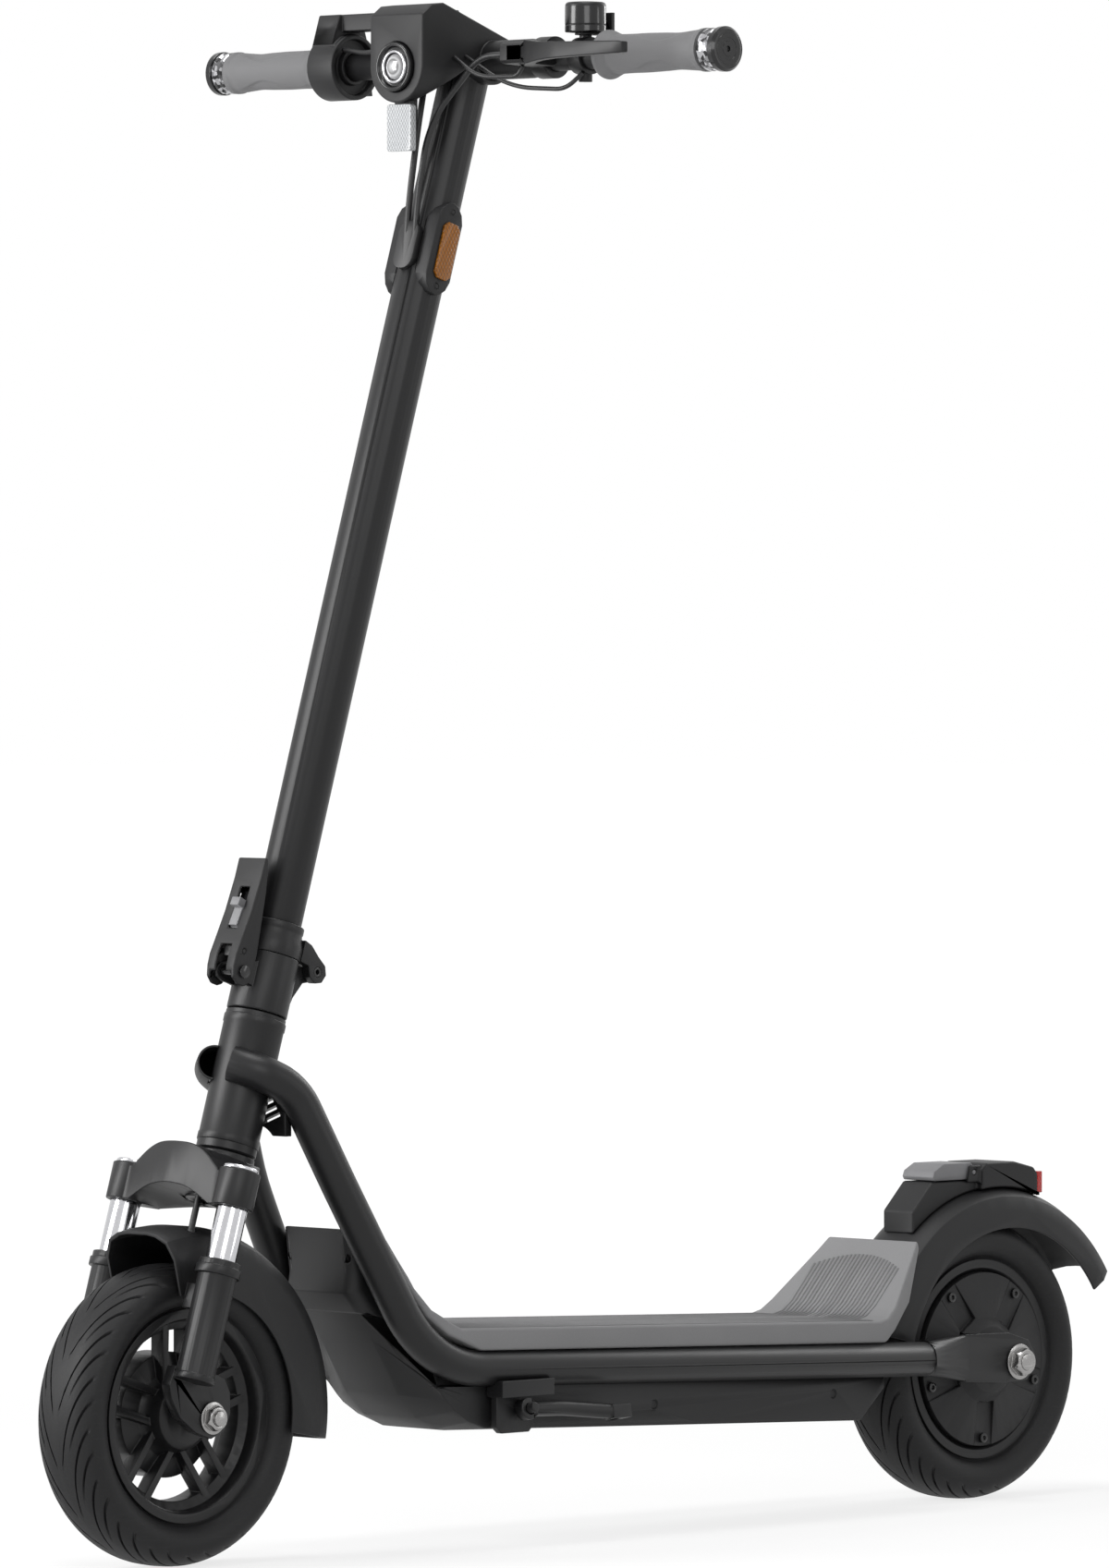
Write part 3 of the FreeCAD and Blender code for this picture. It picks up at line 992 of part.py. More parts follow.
# ---------------------------------------------------------------- brake lever
PIVOT = Vector(-290, 106, 1204)
lever_clamp = cyl(17.0, 16.0, Vector(BAR_X, 86, BAR_Z), ACROSS)
lever_block = plate_xz(((-322, 1196), (-318, 1194), (-284, 1195.5), (-281, 1198), (-281, 1210),
                        (-284, 1212.5), (-318, 1214), (-322, 1212)), 88, 112)
barrel = cyl(4.2, 14.0, Vector(-297, 80, 1204), ACROSS)
mount_body = lever_clamp.multiFuse([lever_block, barrel])
mount_body = mount_body.cut(cyl(size("Sizes.bar_radius"), 60.0, Vector(BAR_X, 70, BAR_Z), ACROSS))
mount_body = mount_body.cut(brick(-300, -270, 97, 120, 1199, 1209))
mount_body = mount_body.fuse(cyl(3.0, 17.0, PIVOT - Vector(0, 0, 8.4)))
keep(solid("LeverBracket", mount_body.removeSplitter(), UPRIGHT), "lever_bracket")

blade_plan = [(-297, 101), (-285, 101), (-278.5, 122), (-272.5, 150), (-271.5, 190), (-273, 222),
              (-276, 231.5), (-282, 232.5), (-281.5, 222), (-279.5, 190), (-280, 152), (-286, 126),
              (-296, 112)]
blade = prism([Vector(x, y, 1190) for x, y in blade_plan], Vector(0, 0, 30))
heights = [(96, 4.7), (115, 4.7), (116, 10), (136, 7.6), (160, 6.5), (228, 5), (234, 4)]
edge_line = [Vector(-310, y, 1204 + h) for y, h in heights]
edge_line += [Vector(-310, y, 1204 - h) for y, h in reversed(heights)]
blade = blade.common(prism(edge_line, Vector(60, 0, 0)))
blade = blade.cut(cyl(3.05, 40.0, PIVOT - Vector(0, 0, 20)))
keep(solid("BrakeLever", blade, UPRIGHT), "brake_lever")

# ---------------------------------------------------------------- throttle
drum = cyl(27.0, 30.0, Vector(BAR_X, -162, BAR_Z), ACROSS)
slab = plate_xz(((-352, 1220), (-344, 1245), (-319, 1245), (-311, 1220), (-311, 1200), (-352, 1200)),
                -162, -137)
arm = brick(-342, -322, -140, -20, 1231, 1245)
housing_body = drum.multiFuse([slab, arm])
housing_body = housing_body.cut(cyl(23.0, 9.0, Vector(BAR_X, -138.5, BAR_Z), ACROSS))
housing_body = housing_body.fuse(cyl(14.5, 20.0, Vector(BAR_X, -152, BAR_Z), ACROSS))
housing_body = housing_body.cut(cyl(size("Sizes.bar_radius"), 60.0, Vector(BAR_X, -180, BAR_Z), ACROSS))
slot_room = brick(-372, -341, -158.5, -141.5, 1172, 1204)
housing_body = housing_body.cut(slot_room.cut(cyl(12.5, 60.0, Vector(BAR_X, -180, BAR_Z), ACROSS)))
housing_body = housing_body.cut(side_view)
housing_body = max(housing_body.Solids, key=lambda item: item.Volume)
THROTTLE = Vector(-353, 0, 1199)
throttle_pin = cyl(2.0, 21.0, THROTTLE + Vector(0, -160.5, 0), ACROSS)
housing_body = housing_body.fuse(throttle_pin)
keep(solid("ThrottleHousing", housing_body, UPRIGHT), "throttle_housing")
paddle = plate_xz(((-357, 1202.6), (-350.6, 1202.8), (-348.8, 1199), (-349.8, 1193), (-352, 1187),
                   (-357, 1180), (-361.5, 1179.5), (-360, 1189), (-358.5, 1196)), -158, -142)
paddle = paddle.cut(cyl(2.05, 60.0, THROTTLE + Vector(0, -180, 0), ACROSS))
keep(solid("ThrottlePaddle", paddle, UPRIGHT), "throttle_paddle")

# ---------------------------------------------------------------- control cables


def stem_spot(p, y, q):
    spot = UPRIGHT.inverse().multiply(STEER).multVec(Vector(p, y, q))
    return spot


grommet = Part.makeBox(10.0, 21.6, 40.0, Vector(13.5, -10.8, 948.0))
grommet = grommet.makeFillet(9.5, [edge for edge in grommet.Edges
                                   if abs(edge.BoundBox.XLength - 10.0) < 0.01])
grommet = grommet.cut(stem_core).fuse(Part.makeBox(3.6, 14.0, 22.0, Vector(16.9, -7.0, 958.0)))
grommet = max(grommet.cut(cyl(17.5, 120.0, Vector(0, 0, 900))).Solids, key=lambda item: item.Volume)
grommet = moved(grommet, UPRIGHT.inverse().multiply(STEER))
brake_line = cord("brake cable", [Vector(-297, 79.8, 1204), Vector(-294, 52, 1203),
                                  Vector(-276, 12, 1150), stem_spot(27.5, 6, 1010),
                                  stem_spot(20.5, 6, 974)], 2.5)
harness = cord("display harness", [Vector(-288, -5, 1183.5), Vector(-279, -4, 1146),
                                   stem_spot(28, -3, 1010), stem_spot(20.5, -4, 974)], 2.6)
bell_line = cord("bell lead", [Vector(-324, 140, 1188), Vector(-318, 126, 1175), Vector(-306, 74, 1178),
                               Vector(-299, 30.8, 1204)], 1.8)
switch_line = cord("brake switch lead", [Vector(-300, 96, 1194.3), Vector(-299, 90, 1186),
                                         Vector(-288, 56, 1186), Vector(-286, 31, 1203)], 1.8)
throttle_line = cord("throttle lead", [Vector(-318, -131.7, 1216), Vector(-312, -96, 1211),
                                       Vector(-302, -56, 1218), Vector(-298, -30.9, 1222)], 2.0)
upper_group = grommet.multiFuse([brake_line, harness])
keep(solid("ControlCables", Part.makeCompound([upper_group, bell_line, switch_line, throttle_line]),
           UPRIGHT), "control_cables")

# ---------------------------------------------------------------- checks and export
doc.recompute()
names = set()
for obj in kept:
    if "Invalid" in obj.State or "Error" in obj.State:
        raise RuntimeError(obj.Label + " did not rebuild")
    if obj.Shape.isNull() or not obj.Shape.isValid():
        raise RuntimeError(obj.Label + " has a bad shape")
    if not obj.Shape.Solids:
        raise RuntimeError(obj.Label + " has no solid")
    if obj.Label in names:
        raise RuntimeError(obj.Label + " is used twice")
    names.add(obj.Label)
for obj in kept:
    obj.Shape.exportStep("parts/" + obj.Label + ".step")
    box = obj.Shape.BoundBox
    print("%-22s %2d solids %9.0f mm3  x %.1f %.1f  y %.1f %.1f  z %.1f %.1f" % (
        obj.Label, len(obj.Shape.Solids), obj.Shape.Volume, box.XMin, box.XMax, box.YMin, box.YMax,
        box.ZMin, box.ZMax))
print("pieces", len(kept))
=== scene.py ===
import json
import math

import bmesh
import bpy
from bpy.props import FloatProperty, FloatVectorProperty, IntProperty, PointerProperty
from mathutils import Matrix, Vector


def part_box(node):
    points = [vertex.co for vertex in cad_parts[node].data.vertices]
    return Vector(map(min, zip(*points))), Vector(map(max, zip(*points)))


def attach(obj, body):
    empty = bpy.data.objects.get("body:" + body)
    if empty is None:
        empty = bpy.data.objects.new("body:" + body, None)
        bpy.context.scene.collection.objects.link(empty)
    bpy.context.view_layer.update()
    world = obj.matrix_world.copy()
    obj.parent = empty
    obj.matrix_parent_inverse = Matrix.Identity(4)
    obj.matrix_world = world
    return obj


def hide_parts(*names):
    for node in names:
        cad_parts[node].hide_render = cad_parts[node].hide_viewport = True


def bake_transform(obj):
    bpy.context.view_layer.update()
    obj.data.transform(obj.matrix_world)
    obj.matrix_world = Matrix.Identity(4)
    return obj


bl_info = {
    "name": "Electric Kick Scooter",
    "version": (1, 0, 0),
    "blender": (4, 5, 0),
    "location": "View3D > Sidebar > Scooter",
    "description": "Builds the visible pieces of a folding kick scooter around its frame",
    "category": "Object",
}

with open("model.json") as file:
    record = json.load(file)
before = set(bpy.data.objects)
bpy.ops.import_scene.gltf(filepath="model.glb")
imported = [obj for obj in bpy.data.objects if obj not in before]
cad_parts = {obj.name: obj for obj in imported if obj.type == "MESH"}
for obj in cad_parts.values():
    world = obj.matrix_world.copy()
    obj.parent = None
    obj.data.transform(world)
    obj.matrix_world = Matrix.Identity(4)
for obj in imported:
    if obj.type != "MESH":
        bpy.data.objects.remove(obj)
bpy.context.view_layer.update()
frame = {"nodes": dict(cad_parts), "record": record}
NODE_BODY = {}
for body_name, members in frame["record"]["behaviour"]["bodies"].items():
    for member in members:
        NODE_BODY[member] = body_name

MM = 0.001
FRONT_AXLE = Vector((0.4785, 0.0, 0.120))
REAR_AXLE = Vector((-0.4395, 0.0, 0.120))
BAR_CENTRE = (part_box("grips")[0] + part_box("grips")[1]) / 2
RAKE = math.radians(17.05)
DECK_TILT = math.radians(2.0)
DECK_START = Vector((-0.0215, 0.0, 0.1531))
FULL_TURN = 2 * math.pi
MERGE_DISTANCE = 1e-6
FLAT_ANGLE = math.radians(0.6)
CORNER_ANGLE = 34.0
FINISH = "_finish"
FINE_STEPS = 96
ACROSS = Vector((0.0, 1.0, 0.0))
FORWARD = Vector((1.0, 0.0, 0.0))
UP = Vector((0.0, 0.0, 1.0))


def colour(red, green, blue):
    """Linear colour from the three display values out of 255."""
    def linear(value):
        part = value / 255.0
        return part / 12.92 if part <= 0.04045 else ((part + 0.055) / 1.055) ** 2.4
    return (linear(red), linear(green), linear(blue))


def colour_prop(name, description, red, green, blue):
    return FloatVectorProperty(name=name, description=description, subtype="COLOR", size=3,
                               min=0.0, max=1.0, default=colour(red, green, blue))


class ScooterColours(bpy.types.PropertyGroup):
    """Colours of the finishes."""

    paint: colour_prop("Frame paint", "Satin black paint of the tubes, stem and fork", 20, 20, 21)
    plastic: colour_prop("Black plastic", "Moulded plastic of the fenders, case and housings",
                         22, 22, 23)
    rubber: colour_prop("Tyre rubber", "Rubber of both tyres", 20, 20, 21)
    mat: colour_prop("Deck mat", "Rubber mat and footrest", 124, 124, 125)
    grip: colour_prop("Grips", "Soft grey rubber of the grips", 99, 99, 100)
    pale: colour_prop("Pale plastic", "Light grey latch parts", 112, 112, 114)
    aluminium: colour_prop("Deck aluminium", "Bare edge of the deck board", 120, 121, 123)
    steel: colour_prop("Bright steel", "Axles, nuts and bearings", 150, 149, 148)
    chrome: colour_prop("Chrome", "Fork stanchions and bright rings", 196, 196, 199)
    amber: colour_prop("Amber", "Side reflectors", 138, 82, 2)
    red: colour_prop("Red", "Tail light lens", 178, 24, 20)
    clear: colour_prop("Clear plastic", "Front reflector and lamp lens", 164, 166, 168)
    cell: colour_prop("Cell wrap", "Wrap of the battery pack", 40, 74, 108)
    copper: colour_prop("Winding", "Windings and iron of the motor", 132, 84, 52)


class ScooterSizes(bpy.types.PropertyGroup):
    """Sizes of the visible detail."""

    edge: FloatProperty(
        name="Edge rounding", description="Radius on the corners of machined parts",
        default=0.0006, min=0.0001, max=0.003, subtype="DISTANCE", unit="LENGTH")
    groove_depth: FloatProperty(
        name="Tread depth", description="Depth of the tyre grooves",
        default=0.0024, min=0.0, max=0.005, subtype="DISTANCE", unit="LENGTH")
    groove_sweep: FloatProperty(
        name="Tread sweep", description="How far round the tyre a groove runs",
        default=math.radians(44.0), min=0.0, max=1.5, subtype="ANGLE", unit="ROTATION")
    tread_pitches: IntProperty(
        name="Tread pitches", description="Repeats of the tread round the tyre",
        default=17, min=8, max=40)
    rib_height: FloatProperty(
        name="Mat rib height", description="Height of the ribs of the deck mat",
        default=0.0006, min=0.0, max=0.002, subtype="DISTANCE", unit="LENGTH")
    rib_pitch: FloatProperty(
        name="Mat rib pitch", description="Spacing of the ribs of the deck mat",
        default=0.0044, min=0.002, max=0.02, subtype="DISTANCE", unit="LENGTH")


def sizes():
    return bpy.context.scene.scooter_sizes


def colours():
    return bpy.context.scene.scooter_colours


# ---------------------------------------------------------------- shader groups
def new_group(name, inputs, outputs):
    group = bpy.data.node_groups.new(name, "ShaderNodeTree")
    for label, kind, default in inputs:
        socket = group.interface.new_socket(name=label, in_out="INPUT", socket_type=kind)
        if default is not None:
            socket.default_value = default
    for label, kind in outputs:
        group.interface.new_socket(name=label, in_out="OUTPUT", socket_type=kind)
    return group, group.nodes.new("NodeGroupInput"), group.nodes.new("NodeGroupOutput")


def maths(tree, operation, first, second=None, third=None):
    node = tree.nodes.new("ShaderNodeMath")
    node.operation = operation
    for index, value in enumerate((first, second, third)):
        if value is None:
            continue
        if isinstance(value, (int, float)):
            node.inputs[index].default_value = value
        else:
            tree.links.new(value, node.inputs[index])
    return node.outputs[0]


def grain_group():
    """Fine moulded or sprayed texture: colour drift, roughness drift and grain height."""
    if "surface grain" in bpy.data.node_groups:
        return bpy.data.node_groups["surface grain"]
    group, start, end = new_group("surface grain", (
        ("Vector", "NodeSocketVector", None), ("Base", "NodeSocketColor", (0.1, 0.1, 0.1, 1.0)),
        ("Drift", "NodeSocketFloat", 0.12), ("Roughness", "NodeSocketFloat", 0.5),
        ("Roughness Drift", "NodeSocketFloat", 0.08), ("Grain Scale", "NodeSocketFloat", 900.0)),
        (("Color", "NodeSocketColor"), ("Roughness", "NodeSocketFloat"),
         ("Height", "NodeSocketFloat")))
    broad = group.nodes.new("ShaderNodeTexNoise")
    broad.inputs["Scale"].default_value = 14.0
    broad.inputs["Detail"].default_value = 3.0
    fine = group.nodes.new("ShaderNodeTexNoise")
    fine.inputs["Detail"].default_value = 2.0
    for node in (broad, fine):
        group.links.new(start.outputs["Vector"], node.inputs["Vector"])
    group.links.new(start.outputs["Grain Scale"], fine.inputs["Scale"])
    both = maths(group, "MULTIPLY_ADD", fine.outputs["Fac"], 0.5,
                 maths(group, "MULTIPLY", broad.outputs["Fac"], 0.5))
    centred = maths(group, "SUBTRACT", both, 0.5)
    lift = maths(group, "MULTIPLY_ADD", centred,
                 maths(group, "MULTIPLY", start.outputs["Drift"], 2.0), 1.0)
    tint = group.nodes.new("ShaderNodeVectorMath")
    tint.operation = "SCALE"
    group.links.new(start.outputs["Base"], tint.inputs[0])
    group.links.new(lift, tint.inputs["Scale"])
    group.links.new(tint.outputs[0], end.inputs["Color"])
    rough = maths(group, "MULTIPLY_ADD", centred,
                  maths(group, "MULTIPLY", start.outputs["Roughness Drift"], 2.0),
                  start.outputs["Roughness"])
    group.links.new(rough, end.inputs["Roughness"])
    group.links.new(fine.outputs["Fac"], end.inputs["Height"])
    return group


def scuff_group():
    """Sparse thin scratches as a mask."""
    if "fine scuffs" in bpy.data.node_groups:
        return bpy.data.node_groups["fine scuffs"]
    group, start, end = new_group("fine scuffs", (
        ("Vector", "NodeSocketVector", None), ("Amount", "NodeSocketFloat", 0.3)),
        (("Mask", "NodeSocketFloat"),))
    stretch = group.nodes.new("ShaderNodeMapping")
    stretch.inputs["Scale"].default_value = (22.0, 480.0, 480.0)
    streaks = group.nodes.new("ShaderNodeTexNoise")
    streaks.inputs["Scale"].default_value = 1.0
    streaks.inputs["Detail"].default_value = 2.0
    group.links.new(start.outputs["Vector"], stretch.inputs["Vector"])
    group.links.new(stretch.outputs[0], streaks.inputs["Vector"])
    sharp = maths(group, "MULTIPLY", maths(group, "SUBTRACT", streaks.outputs["Fac"], 0.56), 8.0)
    held = maths(group, "MINIMUM", maths(group, "MAXIMUM", sharp, 0.0), 1.0)
    group.links.new(maths(group, "MULTIPLY", held, start.outputs["Amount"]), end.inputs["Mask"])
    return group


def prism_group():
    """Diamond grid of a moulded reflector, as height, and as colour with painted shade and
    highlight that follow the height.
    """
    if "prism grid" in bpy.data.node_groups:
        return bpy.data.node_groups["prism grid"]
    group, start, end = new_group("prism grid", (
        ("Vector", "NodeSocketVector", None), ("Base", "NodeSocketColor", (0.5, 0.5, 0.5, 1.0)),
        ("Size", "NodeSocketFloat", 0.0026)),
        (("Color", "NodeSocketColor"), ("Height", "NodeSocketFloat")))
    parts = group.nodes.new("ShaderNodeSeparateXYZ")
    group.links.new(start.outputs["Vector"], parts.inputs[0])
    flat = maths(group, "ADD", parts.outputs["X"], parts.outputs["Y"])
    turns = maths(group, "DIVIDE", 1.0, start.outputs["Size"])
    slopes = []
    for side in (0.62, -0.62):
        lane = maths(group, "MULTIPLY_ADD", parts.outputs["Z"], side, flat)
        slopes.append(maths(group, "PINGPONG", maths(group, "MULTIPLY", lane, turns), 0.5))
    height = maths(group, "ADD", slopes[0], slopes[1])
    # painted shade and highlight: the base colour is scaled darker and lighter with the prism
    # height
    tint = group.nodes.new("ShaderNodeVectorMath")
    tint.operation = "SCALE"
    group.links.new(start.outputs["Base"], tint.inputs[0])
    group.links.new(maths(group, "MULTIPLY_ADD", height, 0.9, 0.5), tint.inputs["Scale"])
    group.links.new(tint.outputs[0], end.inputs["Color"])
    group.links.new(height, end.inputs["Height"])
    return group


def start_material(name, base, metallic=0.0, specular=0.5, coat=0.0, coat_roughness=0.1):
    """Empty material with its shader and object coordinates."""
    material = bpy.data.materials.new(name)
    material.use_nodes = True
    material.diffuse_color = (*base, 1.0)
    shader = material.node_tree.nodes["Principled BSDF"]
    shader.inputs["Metallic"].default_value = metallic
    shader.inputs["Specular IOR Level"].default_value = specular
    shader.inputs["Coat Weight"].default_value = coat
    shader.inputs["Coat Roughness"].default_value = coat_roughness
    where = material.node_tree.nodes.new("ShaderNodeTexCoord")
    return material, shader, where.outputs["Object"]


def place_group(tree, group, spot, **values):
    node = tree.nodes.new("ShaderNodeGroup")
    node.node_tree = group
    tree.links.new(spot, node.inputs["Vector"])
    for label, value in values.items():
        node.inputs[label.replace("_", " ")].default_value = value
    return node


def add_bump(tree, shader, height, depth):
    """Surface relief from a height, to the given depth."""
    bump = tree.nodes.new("ShaderNodeBump")
    bump.inputs["Strength"].default_value = 1.0
    bump.inputs["Distance"].default_value = depth
    tree.links.new(height, bump.inputs["Height"])
    tree.links.new(bump.outputs["Normal"], shader.inputs["Normal"])


def grained(name, base, roughness, metallic=0.0, specular=0.5, coat=0.0, drift=0.12, spread=0.08,
            scale=900.0, depth=0.00006, scuffs=0.0):
    """Material with grain, and scuffs where asked."""
    if name + FINISH in bpy.data.materials:
        return bpy.data.materials[name + FINISH]
    material, shader, spot = start_material(name + FINISH, base, metallic, specular, coat)
    tree = material.node_tree
    grain = place_group(tree, grain_group(), spot, Base=(*base, 1.0), Drift=drift,
                        Roughness=roughness, Roughness_Drift=spread, Grain_Scale=scale)
    tint = grain.outputs["Color"]
    rough = grain.outputs["Roughness"]
    if scuffs > 0.0:
        marks = place_group(tree, scuff_group(), spot, Amount=scuffs)
        lighter = tree.nodes.new("ShaderNodeMix")
        lighter.data_type = "RGBA"
        tree.links.new(marks.outputs["Mask"], lighter.inputs["Factor"])
        tree.links.new(tint, lighter.inputs["A"])
        lighter.inputs["B"].default_value = (*(min(1.0, part * 1.5 + 0.02) for part in base), 1.0)
        tint = lighter.outputs["Result"]
        rough = maths(tree, "MULTIPLY_ADD", marks.outputs["Mask"], 0.12, rough)
    tree.links.new(tint, shader.inputs["Base Color"])
    tree.links.new(rough, shader.inputs["Roughness"])
    add_bump(tree, shader, grain.outputs["Height"], depth)
    return material


def prismed(name, base, roughness, size, coat):
    """Moulded reflector under a clear skin."""
    if name + FINISH in bpy.data.materials:
        return bpy.data.materials[name + FINISH]
    material, shader, spot = start_material(name + FINISH, base, 0.0, 0.3, coat, 0.06)
    tree = material.node_tree
    grid = place_group(tree, prism_group(), spot, Base=(*base, 1.0), Size=size)
    # the grid colour carries painted shade and highlight on the prism faces; the bump below is the
    # real relief
    tree.links.new(grid.outputs["Color"], shader.inputs["Base Color"])
    shader.inputs["Roughness"].default_value = roughness
    add_bump(tree, shader, grid.outputs["Height"], size * 0.16)
    return material


def paint():
    return grained("satin_black_metal", colours().paint, 0.42, specular=0.30,
                   drift=0.10, spread=0.05, scale=1500.0, depth=0.00002)


def plastic():
    return grained("black_plastic", colours().plastic, 0.52, specular=0.30, drift=0.14,
                   spread=0.08, scale=1100.0, depth=0.00005)


def gloss():
    return grained("gloss_black", colours().plastic, 0.20, specular=0.30, coat=0.25,
                   drift=0.08, spread=0.04, scale=700.0, depth=0.00001)


def rubber():
    return grained("tyre_rubber", colours().rubber, 0.56, specular=0.26, drift=0.22,
                   spread=0.10, scale=600.0, depth=0.00008, scuffs=0.12)


def mat_rubber():
    return grained("grey_rubber", colours().mat, 0.72, specular=0.28, drift=0.14,
                   spread=0.08, scale=800.0, depth=0.00008)


def grip_rubber():
    return grained("grey_rubber_grip", colours().grip, 0.62, specular=0.32, drift=0.10,
                   spread=0.08, scale=1300.0, depth=0.00005)


def pale_plastic():
    return grained("light_grey_plastic", colours().pale, 0.5, specular=0.4, drift=0.10,
                   spread=0.06, scale=900.0, depth=0.00004)


def aluminium():
    return grained("deck_aluminium", colours().aluminium, 0.42, metallic=0.9, drift=0.12,
                   spread=0.10, scale=500.0, depth=0.00003, scuffs=0.3)


def steel():
    return grained("bright_steel", colours().steel, 0.26, metallic=1.0, drift=0.12,
                   spread=0.10, scale=700.0, depth=0.00003, scuffs=0.35)


def chrome():
    return grained("chrome", colours().chrome, 0.13, metallic=1.0, drift=0.06, spread=0.04,
                   scale=300.0, depth=0.00001, scuffs=0.15)


def jewel():
    """Cut clear ring over bright metal, with painted reflection: each facet its own depth of grey.
    """
    name = "bar_ring_jewel"
    if name in bpy.data.materials:
        return bpy.data.materials[name]
    material, shader, spot = start_material(name, colours().chrome, 1.0, 0.5, 0.6, 0.05)
    tree = material.node_tree
    cells = tree.nodes.new("ShaderNodeTexVoronoi")
    cells.inputs["Scale"].default_value = 260.0
    tree.links.new(spot, cells.inputs["Vector"])
    # painted reflection: the cell pattern becomes dark and light greys in the base colour
    grey = tree.nodes.new("ShaderNodeValToRGB")
    tree.links.new(cells.outputs["Color"], grey.inputs["Fac"])
    grey.color_ramp.elements[0].position = 0.25
    grey.color_ramp.elements[0].color = (0.02, 0.02, 0.021, 1.0)
    grey.color_ramp.elements[1].position = 0.85
    grey.color_ramp.elements[1].color = (0.62, 0.62, 0.64, 1.0)
    tree.links.new(grey.outputs["Color"], shader.inputs["Base Color"])
    shader.inputs["Roughness"].default_value = 0.16
    return material


def lens_material():
    """Clear lamp lens over painted reflection: rings of bright and dark in its colour."""
    name = "lamp_lens_clear"
    if name in bpy.data.materials:
        return bpy.data.materials[name]
    material, shader, spot = start_material(name, colours().clear, 0.0, 0.5, 1.0, 0.03)
    tree = material.node_tree
    low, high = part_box("headlight_lens")
    middle = (low.z + high.z) / 2
    centred = tree.nodes.new("ShaderNodeMapping")
    centred.inputs["Location"].default_value = (0.0, 0.0, -middle)
    tree.links.new(spot, centred.inputs["Vector"])
    parts = tree.nodes.new("ShaderNodeSeparateXYZ")
    tree.links.new(centred.outputs[0], parts.inputs[0])
    reach = maths(tree, "SQRT", maths(tree, "ADD", maths(tree, "POWER", parts.outputs["Y"], 2.0),
                                      maths(tree, "POWER", parts.outputs["Z"], 2.0)))
    # painted reflection: bright and dark rings are set into the lens colour by distance from its
    # centre
    painted_reflection_rings = tree.nodes.new("ShaderNodeValToRGB")
    tree.links.new(maths(tree, "DIVIDE", reach, LENS_RADIUS * MM), painted_reflection_rings.inputs["Fac"])
    ramp = painted_reflection_rings.color_ramp
    ramp.elements[0].position = 0.0
    ramp.elements[0].color = (0.55, 0.55, 0.56, 1.0)
    ramp.elements[1].position = 1.0
    ramp.elements[1].color = (0.06, 0.06, 0.065, 1.0)
    for position, level in ((0.30, 0.30), (0.52, 0.12), (0.66, 0.42), (0.80, 0.18)):
        stop = ramp.elements.new(position)
        stop.color = (level, level, level * 1.02, 1.0)
    tree.links.new(painted_reflection_rings.outputs["Color"], shader.inputs["Base Color"])
    shader.inputs["Roughness"].default_value = 0.12
    return material


def iron():
    return grained("stator_iron", colours().copper, 0.45, metallic=0.6, drift=0.3,
                   spread=0.12, scale=350.0, depth=0.0001)


def cell_wrap():
    return grained("cell_pack", colours().cell, 0.5, drift=0.15, spread=0.08, scale=250.0,
                   depth=0.00006)


def jacket():
    return grained("cable_jacket", colours().plastic, 0.46, specular=0.4, drift=0.10,
                   spread=0.06, scale=1400.0, depth=0.00003)


def amber_prism():
    return prismed("amber_plastic", colours().amber, 0.30, 0.0036, coat=0.15)


def white_prism():
    return prismed("clear_plastic_prism", colours().clear, 0.25, 0.0030, coat=0.5)


def red_prism():
    return prismed("red_plastic", colours().red, 0.20, 0.0030, coat=0.4)


# ---------------------------------------------------------------- making pieces
def new_piece(name, bm, material, body, stands_for=()):
    """Object made from a bmesh, riding on a body."""
    mesh = bpy.data.meshes.new(name)
    bm.to_mesh(mesh)
    bm.free()
    mesh.polygons.foreach_set("use_smooth", [True] * len(mesh.polygons))
    mesh.materials.append(material)
    piece = bpy.data.objects.new(name, mesh)
    bpy.context.scene.collection.objects.link(piece)
    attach(piece, body)
    if stands_for:
        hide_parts(*stands_for)
    return piece


def soften(piece, width, segments=2, angle=CORNER_ANGLE):
    """Rounded corners with flat faces kept flat."""
    bevel = piece.modifiers.new("rounded edges", "BEVEL")
    bevel.limit_method = "ANGLE"
    bevel.angle_limit = math.radians(angle)
    bevel.width = width
    bevel.segments = segments
    bevel.use_clamp_overlap = False
    bevel.harden_normals = True
    bevel.miter_outer = "MITER_SHARP"
    return piece


def merged(node):
    """Copy of a frame part with its triangles joined into whole faces."""
    bm = bmesh.new()
    bm.from_mesh(frame["nodes"][node].data)
    bmesh.ops.remove_doubles(bm, verts=bm.verts, dist=2 * MERGE_DISTANCE)
    bmesh.ops.dissolve_limit(bm, angle_limit=FLAT_ANGLE, verts=bm.verts, edges=bm.edges,
                             use_dissolve_boundaries=False)
    return bm


def refine(node, material, edge=1.0, segments=2, angle=CORNER_ANGLE):
    """The part itself with rounded corners and its own finish."""
    piece = new_piece(node + "_finished", merged(node), material, NODE_BODY[node],
                      (node,))
    return soften(piece, sizes().edge * edge, segments, angle)


def dress(node, material):
    """Frame part kept as it is, with a finish."""
    mesh = frame["nodes"][node].data
    mesh.materials.clear()
    mesh.materials.append(material)


def spun(outline, centre, axis=ACROSS, steps=64, whole=True):
    """Surface turned about an axis from (radius, along) corners."""
    bm = bmesh.new()
    side = UP if abs(axis.z) < 0.9 else FORWARD
    side = (side - axis * side.dot(axis)).normalized()
    ring = [bm.verts.new(centre + side * (radius * MM) + axis * (along * MM))
            for radius, along in outline]
    edges = [bm.edges.new(pair) for pair in zip(ring, ring[1:])]
    if whole:
        edges.append(bm.edges.new((ring[-1], ring[0])))
    bmesh.ops.spin(bm, geom=ring + edges, cent=centre, axis=axis, angle=FULL_TURN, steps=steps,
                   use_merge=True, use_duplicate=False)
    bmesh.ops.remove_doubles(bm, verts=bm.verts, dist=MERGE_DISTANCE)
    bmesh.ops.recalc_face_normals(bm, faces=bm.faces)
    return bm


